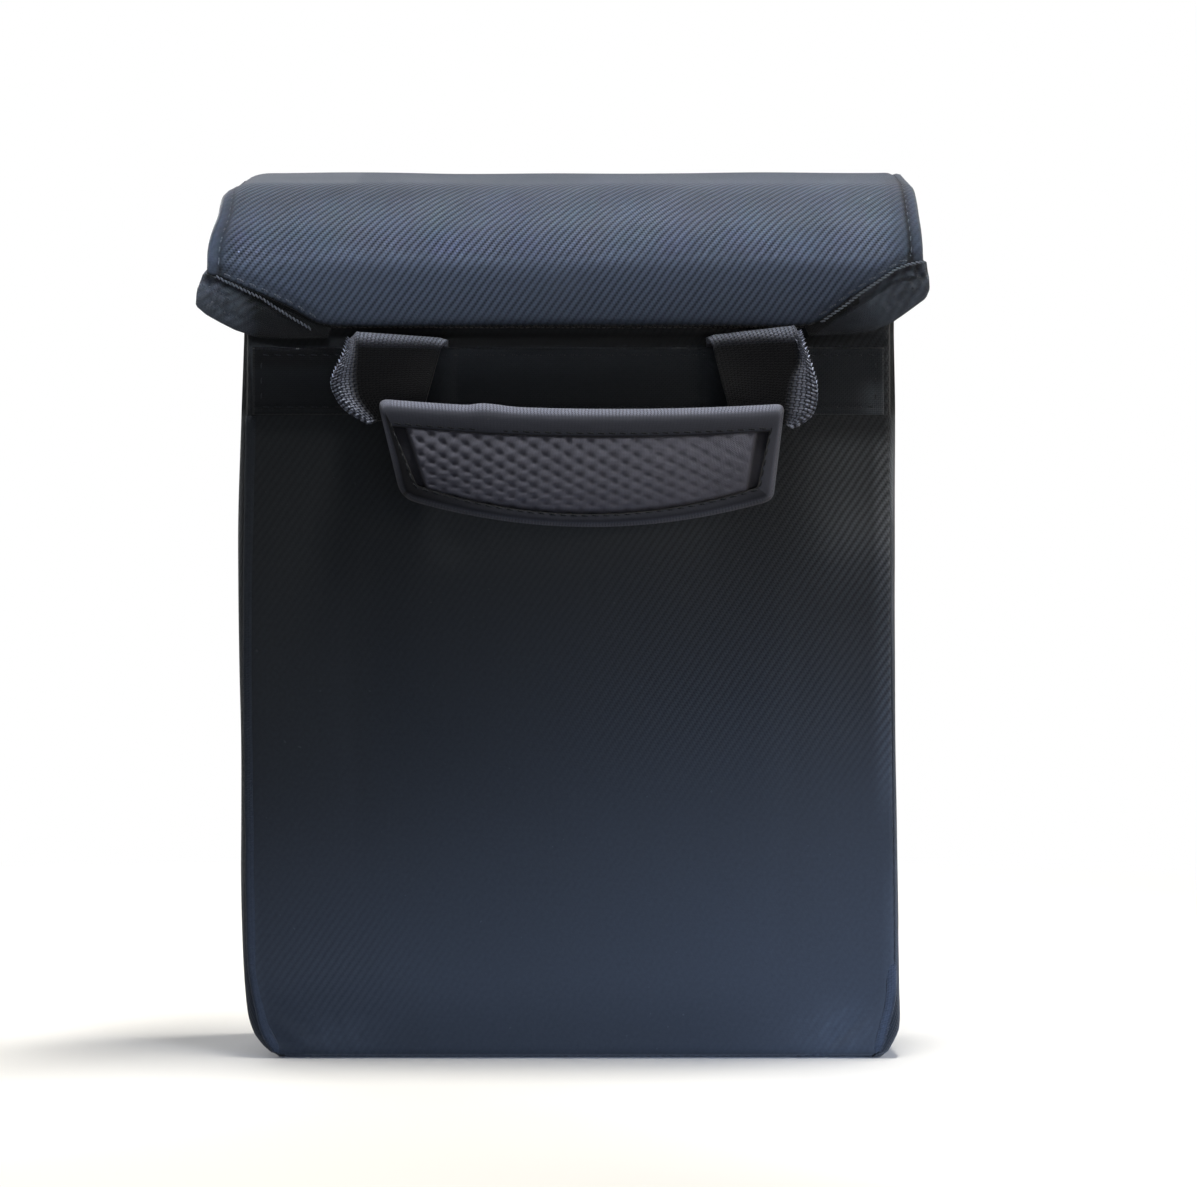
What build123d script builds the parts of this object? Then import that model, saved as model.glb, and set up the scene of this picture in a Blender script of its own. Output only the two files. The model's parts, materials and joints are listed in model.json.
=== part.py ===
"""Soft battery safe bag: a tall gusseted fabric bag with a fire-resistant lining, a fold-over flap
and a padded webbing handle on its front.

Frame: millimetres. +Z up, +X to the right of someone facing the front, +Y towards the back.
The origin is the centre of the flat base. Every piece of cloth is a closed solid of its own.
"""
import math
import os

from build123d import *

# ---- driving dimensions -------------------------------------------------------------------------
# cloth and clearances
FABRIC = 1.2                 # outer twill
LINING = 0.8                 # coated glass-fibre cloth
PLY_GAP = 0.1                # air between two plies that are only sewn together
RUN_GAP = 0.35               # between pieces that move past each other

# bag body
BAG_HALF_WIDTH = 90.0        # outer face of each side gusset
BAG_HALF_DEPTH = 32.5        # outer faces of the front and back panels
FRONT_HEIGHT = 220.0         # top edge of the front panel
PANEL_TAPER_HEIGHT = 26.0    # the front and back panels narrow below this height
PANEL_TAPER = 6.5            # by this much on each side at the base
GUSSET_CORNER_HEIGHT = 14.0  # the gussets curve in below this height
GUSSET_CORNER = 4.5          # by this much at the base
BOARD = 2.0                  # base stiffener
BOARD_INSET = 1.6            # from the board's edge to the cloth around it
SEAM_RIDGE = 0.9             # turned seam allowance along each corner
SEAM_WIDTH = 2.4
MOUTH_TAPE = 0.6             # binding tape round the mouth
MOUTH_TAPE_WIDTH = 7.0
FRONT_TAPE_WIDTH = 3.0       # outer leg of the front edge's tape, above the loop strip

# hook-and-loop closure
CLOSURE_HALF_WIDTH = 80.0
HOOK_HEIGHT = 12.0
LOOP = 1.4
HOOK = 1.1
CLOSURE_GAP = 0.3            # between the hooks and the loops

# flap
FLAP_HALF_WIDTH = 97.0
FLAP_LINING = 0.9
FLAP_DROP = 14.0             # straight hanging part
SHOULDER_RADIUS = 20.0
SHOULDER_ANGLE = 50.0        # degrees from upright where the shoulder ends
BROW_RADIUS = 57.5
BROW_ANGLE = 29.0            # further turn, up to the flat roof
BACK_FOLD_RADIUS = 8.0
BACK_PANEL_DROP = 1.6        # from the start of the back fold to the back panel's tape
SEAM_DROP = 11.0             # from the back panel's top edge to the line that the flap turns about
LAP_HEIGHT = 12.0            # seam allowance sewn to the back panel
FOLD_SLIT = 0.3              # slit at each fold of the flap
PIVOT_PROUD = 0.2            # each fold's axis, outside the outer cloth
CORNER_RISE = 16.0           # height of the flap's cut-off lower corners
CORNER_RUN = 29.0            # and their width
EAR_REACH = 3.0              # how far a folded corner stands out past the flap's side
EAR_OVERLAP = 4.0            # how far it lies under the cloth, along the cut-off corner
EAR_POINT_RISE = 7.2         # height of its outer point above the flap's lower edge
EAR_TUCK = 8.0               # from the flap's side in to its lower corner
HEM_WIDTH = 8.0

# handle
HANDLE_OFFSET = 3.0          # the handle sits this far to the right of the middle
STRAP_SPACING = 97.7         # between the centres of the two straps
WEBBING_WIDTH = 25.6
WEBBING = 1.4
BAND_DROP = 24.0             # from the front panel's top edge to the band
BAND_HEIGHT = 18.5
BAND_HALF_WIDTH = 87.0
BAND = 1.0
BAND_RAMP = 2.0              # width of the slope where the band climbs over a strap's tail
TAIL_LENGTH = 16.0
FOLD_RADIUS = 1.6            # the strap's middle line round its upper fold
FOLD_END = 25.0              # degrees that the fold carries on below its axis, behind
STRAP_STRAIGHT = 4.5         # hanging part below the fold
STRAP_BEND = 5.0
GRIP_STANDOFF = 9.5          # from the front panel to the grip's back
GRIP_TOP_HALF = 56.0
GRIP_BOTTOM_HALF = 50.0
GRIP_TOP_DROP = 17.0         # from the fold's axis to the grip's upper corners
GRIP_TOP_SAG = 3.4
GRIP_HEIGHT = 27.5           # between the upper and lower corners
GRIP_BOTTOM_SAG = 7.6
GRIP_CORNER = 3.0
COVER = 0.9                  # cloth on the pad's back
MESH = 1.0                   # spacer mesh on the pad's front
FOAM = 3.6
FOAM_INSET = 1.5
STRAP_LAP = 14.0             # strap sewn to the grip's back
STRAP_TUCK = 9.0             # its outer corner is folded in by this much, behind the grip
TAPE = 0.7                   # binding tape round the pad
TAPE_WIDTH = 5.0

# stitching
STITCH = 2.6
STITCH_PITCH = 3.8
THREAD = 0.45
SEW_MARGIN = 1.6             # from an edge to the line of stitches

# ---- values that follow ---------------------------------------------------------------------------
FRONT = -BAG_HALF_DEPTH
BACK = BAG_HALF_DEPTH
WALL_END = BAG_HALF_DEPTH - FABRIC - PLY_GAP             # a gusset's front and back edges
LINING_OUTER = BAG_HALF_WIDTH - FABRIC - PLY_GAP         # the side lining's outer face
LINING_INNER = LINING_OUTER - LINING
BOARD_BOTTOM = FABRIC + PLY_GAP
FLOOR_BOTTOM = BOARD_BOTTOM + BOARD + PLY_GAP
FLOOR = FLOOR_BOTTOM + LINING                            # top of the base lining

BAND_TOP = FRONT_HEIGHT - BAND_DROP
BAND_BOTTOM = BAND_TOP - BAND_HEIGHT
TAIL_FACE = FRONT - PLY_GAP - WEBBING
FOLD_Y = FRONT - RUN_GAP - WEBBING / 2 - FOLD_RADIUS     # axis of the straps' upper fold
FOLD_Z = BAND_TOP + RUN_GAP + WEBBING / 2 + FOLD_RADIUS
FOLD_TOP = FOLD_Z + FOLD_RADIUS + WEBBING / 2
STRAP_CENTRES = {"left": HANDLE_OFFSET - STRAP_SPACING / 2, "right": HANDLE_OFFSET + STRAP_SPACING / 2}

FLAP_BOTTOM = FOLD_TOP + RUN_GAP
LOOP_FACE = FRONT - LOOP
FLAP_PLY_GAP = PLY_GAP / 2
FLAP_STACK = FABRIC + FLAP_PLY_GAP + FLAP_LINING
FLAP_FACE = LOOP_FACE - CLOSURE_GAP - HOOK - FLAP_STACK  # the hanging flap's outer face
LOOP_TOP = FRONT_HEIGHT - FRONT_TAPE_WIDTH - RUN_GAP
SHOULDER = (FLAP_FACE + SHOULDER_RADIUS, FLAP_BOTTOM + FLAP_DROP)


def polar(centre, radius, tilt):
    """A point of an arc over the bag: 0 degrees faces the front, 90 is on top, 180 faces the back."""
    turn = math.radians(tilt)
    return (centre[0] - radius * math.cos(turn), centre[1] + radius * math.sin(turn))


ROOF_TILT = SHOULDER_ANGLE + BROW_ANGLE
BROW = polar(polar(SHOULDER, SHOULDER_RADIUS, SHOULDER_ANGLE), -BROW_RADIUS, SHOULDER_ANGLE)
FLAP_BACK = BACK + PLY_GAP + MOUTH_TAPE + RUN_GAP + FLAP_STACK
ROOF_START = polar(BROW, BROW_RADIUS, ROOF_TILT)
ROOF_RUN = FLAP_BACK - BACK_FOLD_RADIUS - ROOF_START[0] - BACK_FOLD_RADIUS * math.cos(math.radians(ROOF_TILT))
ROOF_RISE = ROOF_RUN / math.tan(math.radians(ROOF_TILT))
ROOF_END = (ROOF_START[0] + ROOF_RUN, ROOF_START[1] + ROOF_RISE)
BACK_FOLD = polar(ROOF_END, -BACK_FOLD_RADIUS, ROOF_TILT)
BACK_HEIGHT = BACK_FOLD[1] - BACK_PANEL_DROP             # top edge of the back panel
FLAP_SEAM = BACK_HEIGHT - SEAM_DROP

GRIP_BACK = FRONT - GRIP_STANDOFF
GRIP_TOP = FOLD_Z - GRIP_TOP_DROP
GRIP_BOTTOM = GRIP_TOP - GRIP_HEIGHT
GRIP_FRONT = GRIP_BACK - COVER - FOAM - MESH - 2 * PLY_GAP
SIDES = {"left": -1, "right": 1}


# ---- helpers ----------------------------------------------------------------------------------------
def block(x0, x1, y0, y1, z0, z1):
    """A box between two opposite corners."""
    return Pos((x0 + x1) / 2, (y0 + y1) / 2, (z0 + z1) / 2) * Box(abs(x1 - x0), abs(y1 - y0), abs(z1 - z0))


def prism_y(face, y0, y1):
    """A face drawn flat as (x, z), made solid from y0 to y1."""
    return Pos(0, max(y0, y1), 0) * extrude(Plane.XZ * face, amount=abs(y1 - y0))


def prism_x(face, x0, x1):
    """A face drawn flat as (y, z), made solid from x0 to x1."""
    return Pos(min(x0, x1), 0, 0) * extrude(Plane.YZ * face, amount=abs(x1 - x0))


def polygon(*points):
    return make_face(Polyline(*points, close=True).edges())


def on_side(solid, side):
    """The solid as drawn on the right, or its mirror image on the left."""
    return solid if side == "right" else mirror(solid, about=Plane.YZ)


def arc_foot(height, run):
    """Radius of the arc that leaves the upright and moves in by run over height."""
    return (height**2 + run**2) / (2 * run)


# ---- bag body ---------------------------------------------------------------------------------------
def panel_outline(half_width, top, bottom=0.0):
    """The front or back panel: straight sides that curve in towards the base."""
    radius = arc_foot(PANEL_TAPER_HEIGHT, PANEL_TAPER)
    centre = half_width - radius
    foot = centre + math.sqrt(radius**2 - (PANEL_TAPER_HEIGHT - bottom) ** 2)
    half_turn = math.asin((PANEL_TAPER_HEIGHT - bottom) / radius) / 2
    bulge = (centre + radius * math.cos(half_turn), PANEL_TAPER_HEIGHT - radius * math.sin(half_turn))
    right = ThreePointArc((half_width, PANEL_TAPER_HEIGHT), bulge, (foot, bottom))
    left = ThreePointArc((-foot, bottom), (-bulge[0], bulge[1]), (-half_width, PANEL_TAPER_HEIGHT))
    return make_face([
        Line((-half_width, top), (half_width, top)),
        Line((half_width, top), (half_width, PANEL_TAPER_HEIGHT)),
        right,
        Line((foot, bottom), (-foot, bottom)),
        left,
        Line((-half_width, PANEL_TAPER_HEIGHT), (-half_width, top)),
    ])


def wall_foot(inset, height):
    """X of a side wall's face that lies inset from the gusset's outer face, at a height by the base."""
    radius = arc_foot(GUSSET_CORNER_HEIGHT, GUSSET_CORNER)
    rise = GUSSET_CORNER_HEIGHT - height
    return BAG_HALF_WIDTH - radius + math.sqrt((radius - inset) ** 2 - rise**2)


def mouth_region(lift, floor):
    """The prism across the bag that lies under the sloping mouth, lifted by lift, and above floor."""
    face = polygon((FRONT, floor), (BACK, floor), (BACK, BACK_HEIGHT + lift), (FRONT, FRONT_HEIGHT + lift))
    return prism_x(face, -2 * BAG_HALF_WIDTH, 2 * BAG_HALF_WIDTH)


def side_wall(inset, thickness, half_depth, bottom):
    """A right-hand side wall with a curved foot, cut off along the mouth."""
    radius = arc_foot(GUSSET_CORNER_HEIGHT, GUSSET_CORNER)
    centre = (BAG_HALF_WIDTH - radius, GUSSET_CORNER_HEIGHT)
    outer, inner = BAG_HALF_WIDTH - inset, BAG_HALF_WIDTH - inset - thickness
    ring = Pos(*centre) * (Circle(radius - inset) - Circle(radius - inset - thickness))
    foot = ring & Pos(centre[0] + radius, (centre[1] + bottom) / 2) * Rectangle(2 * radius, centre[1] - bottom)
    low = prism_y(foot, -half_depth, half_depth)
    high = block(inner, outer, -half_depth, half_depth, centre[1], BACK_HEIGHT) & mouth_region(0, 0)
    return low + high


def make_body():
    """The outer cloth, the stiffener and the lining."""
    inside = WALL_END - LINING
    base_half = wall_foot(FABRIC + PLY_GAP, 0)
    floor_half = wall_foot(FABRIC + LINING + 2 * PLY_GAP, FLOOR_BOTTOM)
    panel = panel_outline(BAG_HALF_WIDTH, FRONT_HEIGHT)
    nodes = {
        "front_panel": prism_y(panel, FRONT, FRONT + FABRIC),
        "back_panel": prism_y(panel_outline(BAG_HALF_WIDTH, BACK_HEIGHT), BACK - FABRIC, BACK),
        "base_panel": block(-base_half, base_half, -WALL_END, WALL_END, 0, FABRIC),
        "base_board": block(BOARD_INSET - base_half, base_half - BOARD_INSET, BOARD_INSET - WALL_END,
                            WALL_END - BOARD_INSET, BOARD_BOTTOM, BOARD_BOTTOM + BOARD),
        "base_lining": block(-floor_half, floor_half, -inside + PLY_GAP, inside - PLY_GAP, FLOOR_BOTTOM, FLOOR),
    }
    tops = {"front": (FRONT_HEIGHT, -1), "back": (BACK_HEIGHT, 1)}
    for name, (top, way) in tops.items():
        lining = panel_outline(LINING_INNER - PLY_GAP, top, FLOOR_BOTTOM)
        nodes[f"{name}_lining"] = prism_y(lining, way * inside, way * WALL_END)
    for side in SIDES:
        nodes[f"{side}_gusset"] = on_side(side_wall(0, FABRIC, WALL_END, 0), side)
        lining = side_wall(FABRIC + PLY_GAP, LINING, WALL_END, FLOOR_BOTTOM)
        nodes[f"{side}_lining"] = on_side(lining, side)
    return nodes


def make_seams():
    """The turned allowance that stands proud along each upright corner."""
    def ridge(top):
        return panel_outline(BAG_HALF_WIDTH, top, SEAM_WIDTH) - panel_outline(BAG_HALF_WIDTH - SEAM_WIDTH, top)

    nodes = {}
    tops = {"front": (BAND_TOP - BAND_HEIGHT, -1), "back": (FLAP_SEAM - LAP_HEIGHT, 1)}
    for name, (top, way) in tops.items():
        face = way * (BAG_HALF_DEPTH + PLY_GAP)
        both = prism_y(ridge(top - RUN_GAP), face, face + way * SEAM_RIDGE)
        for side, sign in SIDES.items():
            half = block(0, sign * 2 * BAG_HALF_WIDTH, -2 * BACK, 2 * BACK, 0, top)
            nodes[f"{name}_{side}_seam"] = both & half
    return nodes


def make_mouth_tapes():
    """Binding tape folded over each edge of the mouth."""
    nodes = {}
    core_half = BAG_HALF_DEPTH - FABRIC - LINING - 2 * PLY_GAP
    edges = {"front": (FRONT_HEIGHT, -1, FRONT_TAPE_WIDTH), "back": (BACK_HEIGHT, 1, MOUTH_TAPE_WIDTH)}
    width = LINING_INNER - MOUTH_TAPE - 2 * PLY_GAP - RUN_GAP
    for name, (top, way, leg) in edges.items():
        over = top + PLY_GAP
        outer, inner = way * (BAG_HALF_DEPTH + PLY_GAP), way * core_half
        nodes[f"{name}_mouth_tape"] = (
            block(-width, width, outer, outer + way * MOUTH_TAPE, top - leg, over + MOUTH_TAPE)
            + block(-width, width, inner, inner - way * MOUTH_TAPE, top - MOUTH_TAPE_WIDTH, over + MOUTH_TAPE)
            + block(-width, width, inner, outer, over, over + MOUTH_TAPE)
        )
    depth = WALL_END - LINING - PLY_GAP - MOUTH_TAPE - RUN_GAP
    outer, inner = BAG_HALF_WIDTH + PLY_GAP, LINING_INNER - PLY_GAP
    slab = block(inner - MOUTH_TAPE, outer + MOUTH_TAPE, -depth, depth, 0, 2 * BACK_HEIGHT)
    slab = slab & (mouth_region(PLY_GAP + MOUTH_TAPE, 0) - mouth_region(-MOUTH_TAPE_WIDTH, 0))
    hollow = block(inner, outer, FRONT, BACK, 0, 2 * BACK_HEIGHT) & mouth_region(PLY_GAP, 0)
    for side in SIDES:
        nodes[f"{side}_mouth_tape"] = on_side(slab - hollow, side)
    return nodes


# ---- flap -------------------------------------------------------------------------------------------
def arc(centre, radius, tilt0, tilt1):
    points = [polar(centre, radius, tilt) for tilt in (tilt0, (tilt0 + tilt1) / 2, tilt1)]
    return ThreePointArc(*points)


def sheet_face(path, near, far):
    """The face between two offsets of a path of cloth."""
    outer, inner = path(near), path(far)
    ends = [Line(outer[0] @ 0, inner[0] @ 0), Line(outer[-1] @ 1, inner[-1] @ 1)]
    return make_face(outer + inner + ends)


def front_path(depth):
    """The hanging part and the shoulder, depth mm inside the outer face."""
    bottom = (FLAP_FACE + depth, FLAP_BOTTOM)
    top = (FLAP_FACE + depth, SHOULDER[1])
    slit = math.degrees(FOLD_SLIT / 2 / SHOULDER_RADIUS)
    return [Line(bottom, top), arc(SHOULDER, SHOULDER_RADIUS - depth, 0, SHOULDER_ANGLE - slit)]


def top_path(depth):
    """The brow, the roof and the back fold down to the seam, depth mm inside the outer face."""
    slit = math.degrees(FOLD_SLIT / 2 / BROW_RADIUS)
    brow = arc(BROW, BROW_RADIUS - depth, SHOULDER_ANGLE + slit, ROOF_TILT)
    fold = arc(BACK_FOLD, BACK_FOLD_RADIUS - depth, ROOF_TILT, 180)
    roof = Line(brow @ 1, fold @ 0)
    return [brow, roof, fold, Line(fold @ 1, (FLAP_BACK - depth, FLAP_SEAM + FOLD_SLIT / 2))]


def flap_outline():
    """The front flap seen from the front, with its lower corners cut off."""
    half, top = FLAP_HALF_WIDTH, BACK_HEIGHT + BACK_FOLD_RADIUS * 2
    return polygon((-half, top), (-half, FLAP_BOTTOM + CORNER_RISE), (CORNER_RUN - half, FLAP_BOTTOM),
                   (half - CORNER_RUN, FLAP_BOTTOM), (half, FLAP_BOTTOM + CORNER_RISE), (half, top))


def ear_outline():
    """The folded corner that shows under the cut-off corner, on the right."""
    along = math.hypot(CORNER_RISE, CORNER_RUN)
    back_x, back_z = EAR_OVERLAP * CORNER_RISE / along, EAR_OVERLAP * CORNER_RUN / along
    side, inner = FLAP_HALF_WIDTH, FLAP_HALF_WIDTH - CORNER_RUN
    return polygon((side, FLAP_BOTTOM + CORNER_RISE), (side + EAR_REACH, FLAP_BOTTOM + EAR_POINT_RISE),
                   (side - EAR_TUCK, FLAP_BOTTOM), (inner, FLAP_BOTTOM), (inner - back_x, FLAP_BOTTOM + back_z),
                   (side - back_x, FLAP_BOTTOM + CORNER_RISE + back_z))


def flap_strip(path, near, far, x0, x1):
    return prism_x(sheet_face(path, near, far), x0, x1)


def make_flap():
    """The flap's cloth, lining and hems on both sides of its shoulder fold, and its folded corners."""
    under, deep = FABRIC + FLAP_PLY_GAP, FLAP_STACK
    half, lined = FLAP_HALF_WIDTH, FLAP_HALF_WIDTH - HEM_WIDTH
    front_cloth = flap_strip(front_path, 0, FABRIC, -half, half)
    front_lining = flap_strip(front_path, under, deep, PLY_GAP - lined, lined - PLY_GAP)
    corner = flap_strip(front_path, under, deep, 0, half + EAR_REACH) & prism_y(ear_outline(), FLAP_FACE, BACK)
    room = prism_y(offset(ear_outline(), amount=PLY_GAP), FLAP_FACE, BACK)
    cut_cloth = prism_y(flap_outline(), FLAP_FACE, BACK)
    cut_lining = cut_cloth - room - on_side(room, "left")
    nodes = {
        "flap_front_cloth": front_cloth & cut_cloth,
        "flap_front_lining": front_lining & cut_lining,
        "flap_top_cloth": flap_strip(top_path, 0, FABRIC, -half, half),
        "flap_top_lining": flap_strip(top_path, under, deep, PLY_GAP - lined, lined - PLY_GAP),
        "hook_strip": block(-CLOSURE_HALF_WIDTH, CLOSURE_HALF_WIDTH, FLAP_FACE + FLAP_STACK,
                            FLAP_FACE + FLAP_STACK + HOOK, FLAP_BOTTOM, FLAP_BOTTOM + HOOK_HEIGHT),
    }
    for side in SIDES:
        front_hem = flap_strip(front_path, under, deep, lined, half) & cut_lining
        nodes[f"flap_front_{side}_hem"] = on_side(front_hem, side)
        nodes[f"flap_top_{side}_hem"] = on_side(flap_strip(top_path, under, deep, lined, half), side)
        nodes[f"flap_{side}_corner"] = on_side(corner, side)
    return nodes


def make_closure_and_lap():
    """The loop strip on the front panel, and the flap's lap sewn to the back panel."""
    lap_top, lap_bottom = FLAP_SEAM - FOLD_SLIT / 2, FLAP_SEAM - LAP_HEIGHT
    half = BAG_HALF_WIDTH - SEAM_WIDTH
    lap_face = FLAP_BACK - FLAP_STACK
    return {
        "loop_strip": block(-CLOSURE_HALF_WIDTH, CLOSURE_HALF_WIDTH, LOOP_FACE, FRONT, FLAP_BOTTOM, LOOP_TOP),
        "flap_lap": block(-half, half, lap_face, FLAP_BACK, lap_bottom, lap_top),
        "flap_lap_facing": block(-half, half, BACK + PLY_GAP, lap_face - PLY_GAP, lap_bottom, lap_top),
    }


# ---- handle -----------------------------------------------------------------------------------------
def strap_section():
    """Strap seen from the side: over its fold, down in front of the band, and out behind the grip."""
    hang = FOLD_Y - FOLD_RADIUS
    behind = GRIP_BACK + PLY_GAP + WEBBING / 2
    fold = CenterArc((FOLD_Y, FOLD_Z), FOLD_RADIUS, -FOLD_END, 180 + FOLD_END)
    run = FilletPolyline(
        (hang, FOLD_Z),
        (hang, FOLD_Z - STRAP_STRAIGHT),
        (behind, GRIP_TOP + STRAP_BEND / 2),
        (behind, GRIP_TOP - GRIP_TOP_SAG - STRAP_LAP),
        radius=STRAP_BEND,
    )
    line = Wire(fold.edges() + run.edges())
    return make_face(line.offset_2d(WEBBING / 2, side=Side.BOTH).edges())


def strap_outline(x0, x1, outward):
    """The strap seen from the front, with its outer edge folded in behind the grip."""
    outer, inner = (x1, x0) if outward > 0 else (x0, x1)
    top, bottom = FOLD_TOP + 1, GRIP_TOP - GRIP_TOP_SAG - STRAP_LAP - WEBBING
    tucked = outer - outward * STRAP_TUCK
    return polygon((inner, top), (outer, top), (outer, GRIP_TOP), (tucked, GRIP_TOP - STRAP_TUCK),
                   (tucked, bottom), (inner, bottom))


def band_section():
    """The band seen from above: it climbs over each strap's tail."""
    low, high = FRONT - PLY_GAP, TAIL_FACE - PLY_GAP
    steps = [(-BAND_HALF_WIDTH, low)]
    for centre in STRAP_CENTRES.values():
        near, far = centre - WEBBING_WIDTH / 2 - PLY_GAP, centre + WEBBING_WIDTH / 2 + PLY_GAP
        steps += [(near - BAND_RAMP, low), (near, high), (far, high), (far + BAND_RAMP, low)]
    steps.append((BAND_HALF_WIDTH, low))
    front = [(x, y - BAND) for x, y in reversed(steps)]
    return polygon(*(steps + front))


def grip_outline(grow=0.0):
    """The grip seen from the front: a sagging bar with slanted ends, grown by grow all round."""
    x0, x1 = HANDLE_OFFSET - GRIP_TOP_HALF, HANDLE_OFFSET + GRIP_TOP_HALF
    u0, u1 = HANDLE_OFFSET - GRIP_BOTTOM_HALF, HANDLE_OFFSET + GRIP_BOTTOM_HALF
    face = make_face([
        ThreePointArc((x0, GRIP_TOP), (HANDLE_OFFSET, GRIP_TOP - GRIP_TOP_SAG), (x1, GRIP_TOP)),
        Line((x1, GRIP_TOP), (u1, GRIP_BOTTOM)),
        ThreePointArc((u1, GRIP_BOTTOM), (HANDLE_OFFSET, GRIP_BOTTOM - GRIP_BOTTOM_SAG), (u0, GRIP_BOTTOM)),
        Line((u0, GRIP_BOTTOM), (x0, GRIP_TOP)),
    ])
    face = fillet(face.vertices(), GRIP_CORNER)
    return offset(face, amount=grow) if grow else face


def make_grip():
    """The pad's plies, and binding tape folded round its four edges."""
    cover_front = GRIP_BACK - COVER
    foam_front = cover_front - PLY_GAP - FOAM
    nodes = {
        "grip_back_cover": prism_y(grip_outline(), cover_front, GRIP_BACK),
        "grip_foam": prism_y(grip_outline(-FOAM_INSET), foam_front, cover_front - PLY_GAP),
        "grip_mesh": prism_y(grip_outline(), GRIP_FRONT, foam_front - PLY_GAP),
    }
    front_face, back_face = GRIP_FRONT - PLY_GAP - TAPE, GRIP_BACK
    ring = prism_y(grip_outline(PLY_GAP + TAPE), front_face, back_face)
    ring -= prism_y(grip_outline(-TAPE_WIDTH), front_face, back_face)
    ring -= prism_y(grip_outline(PLY_GAP), GRIP_FRONT - PLY_GAP, back_face)
    slope = (GRIP_TOP_HALF - GRIP_BOTTOM_HALF) / GRIP_HEIGHT
    far = GRIP_TOP_HALF * 2
    for side, sign in SIDES.items():
        inner_top = HANDLE_OFFSET + sign * (GRIP_TOP_HALF - TAPE_WIDTH)
        drop = GRIP_HEIGHT + GRIP_BOTTOM_SAG
        end = polygon((inner_top + sign * slope * drop, GRIP_TOP + drop),
                      (inner_top - sign * slope * 2 * drop, GRIP_TOP - 2 * drop),
                      (HANDLE_OFFSET + sign * far, GRIP_TOP - 2 * drop),
                      (HANDLE_OFFSET + sign * far, GRIP_TOP + drop))
        end_zone = prism_y(end, front_face, back_face)
        nodes[f"grip_{side}_binding"] = ring & end_zone
        ring -= prism_y(offset(end, amount=PLY_GAP), front_face, back_face)
    middle = GRIP_TOP - (GRIP_HEIGHT + GRIP_TOP_SAG) / 2
    upper = block(-far, far, front_face, back_face, middle, middle + 2 * GRIP_HEIGHT)
    nodes["grip_top_binding"] = ring & upper
    nodes["grip_bottom_binding"] = ring - upper
    return nodes


def stitch_row(x0, x1, z, face, way):
    """Stitches from x0 to x1 on a face that looks along way times Y."""
    count = int((x1 - x0 - STITCH) / STITCH_PITCH) + 1
    start = (x0 + x1) / 2 - (count - 1) * STITCH_PITCH / 2
    y = face + way * (PLY_GAP / 2 + THREAD / 2)
    return [Pos(start + i * STITCH_PITCH, y, z) * Box(STITCH, THREAD, THREAD) for i in range(count)]


def make_handle():
    """Straps, their tails and the band over them, the grip, and the stitches that hold them."""
    band_face = FRONT - PLY_GAP - BAND
    band = extrude(band_section(), amount=BAND_HEIGHT)
    nodes = {"handle_band": Pos(0, 0, BAND_BOTTOM) * band}
    section = strap_section()
    lap_top, lap_bottom = GRIP_TOP - GRIP_TOP_SAG - SEW_MARGIN, GRIP_TOP - GRIP_TOP_SAG - STRAP_LAP + SEW_MARGIN
    strap_back = GRIP_BACK + PLY_GAP + WEBBING
    strap_sewing, band_sewing = [], []
    band_rows = (BAND_TOP - SEW_MARGIN, BAND_BOTTOM + SEW_MARGIN)
    flat = -BAND_HALF_WIDTH + SEW_MARGIN                 # where the band's next flat stretch starts
    ramp = BAND_RAMP + PLY_GAP + THREAD
    for side, centre in STRAP_CENTRES.items():
        x0, x1 = centre - WEBBING_WIDTH / 2, centre + WEBBING_WIDTH / 2
        outline = strap_outline(x0, x1, SIDES[side])
        nodes[f"{side}_handle_strap"] = prism_x(section, x0, x1) & prism_y(outline, 2 * GRIP_FRONT, FRONT)
        nodes[f"{side}_strap_tail"] = block(x0, x1, FRONT - PLY_GAP, TAIL_FACE, BAND_TOP - TAIL_LENGTH, BAND_TOP)
        tucked_in = STRAP_TUCK * SIDES[side]
        sew0, sew1 = x0 + SEW_MARGIN - min(tucked_in, 0), x1 - SEW_MARGIN - max(tucked_in, 0)
        for z in (lap_top, (lap_top + lap_bottom) / 2, lap_bottom):
            strap_sewing += stitch_row(sew0, sew1, z, strap_back, 1)
        for z in band_rows:
            band_sewing += stitch_row(flat, x0 - ramp, z, band_face, -1)
            band_sewing += stitch_row(x0 + SEW_MARGIN, x1 - SEW_MARGIN, z, TAIL_FACE - PLY_GAP - BAND, -1)
        flat = x1 + ramp
    for z in band_rows:
        band_sewing += stitch_row(flat, BAND_HALF_WIDTH - SEW_MARGIN, z, band_face, -1)
    nodes["strap_stitches"] = Compound(strap_sewing)
    nodes["band_stitches"] = Compound(band_sewing)
    nodes.update(make_grip())
    return nodes


def main():
    os.makedirs("parts", exist_ok=True)
    nodes = {}
    for make in (make_body, make_seams, make_mouth_tapes, make_flap, make_closure_and_lap, make_handle):
        nodes.update(make())
    for name, solid in nodes.items():
        export_step(solid, f"parts/{name}.step")
    print(f"{len(nodes)} nodes, back height {BACK_HEIGHT:.2f}, flap seam {FLAP_SEAM:.2f}")
    print(f"flap axis y {FLAP_BACK + PIVOT_PROUD:.3f} z {FLAP_SEAM:.3f}")
    shoulder_axis = polar(SHOULDER, SHOULDER_RADIUS + PIVOT_PROUD, SHOULDER_ANGLE)
    print(f"shoulder axis y {shoulder_axis[0]:.3f} z {shoulder_axis[1]:.3f}")
    print(f"handle axis y {FOLD_Y:.3f} z {FOLD_Z:.3f}")


main()
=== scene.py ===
import json
from math import cos, degrees, exp, floor, hypot, pi, radians, sin, sqrt, tan

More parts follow.
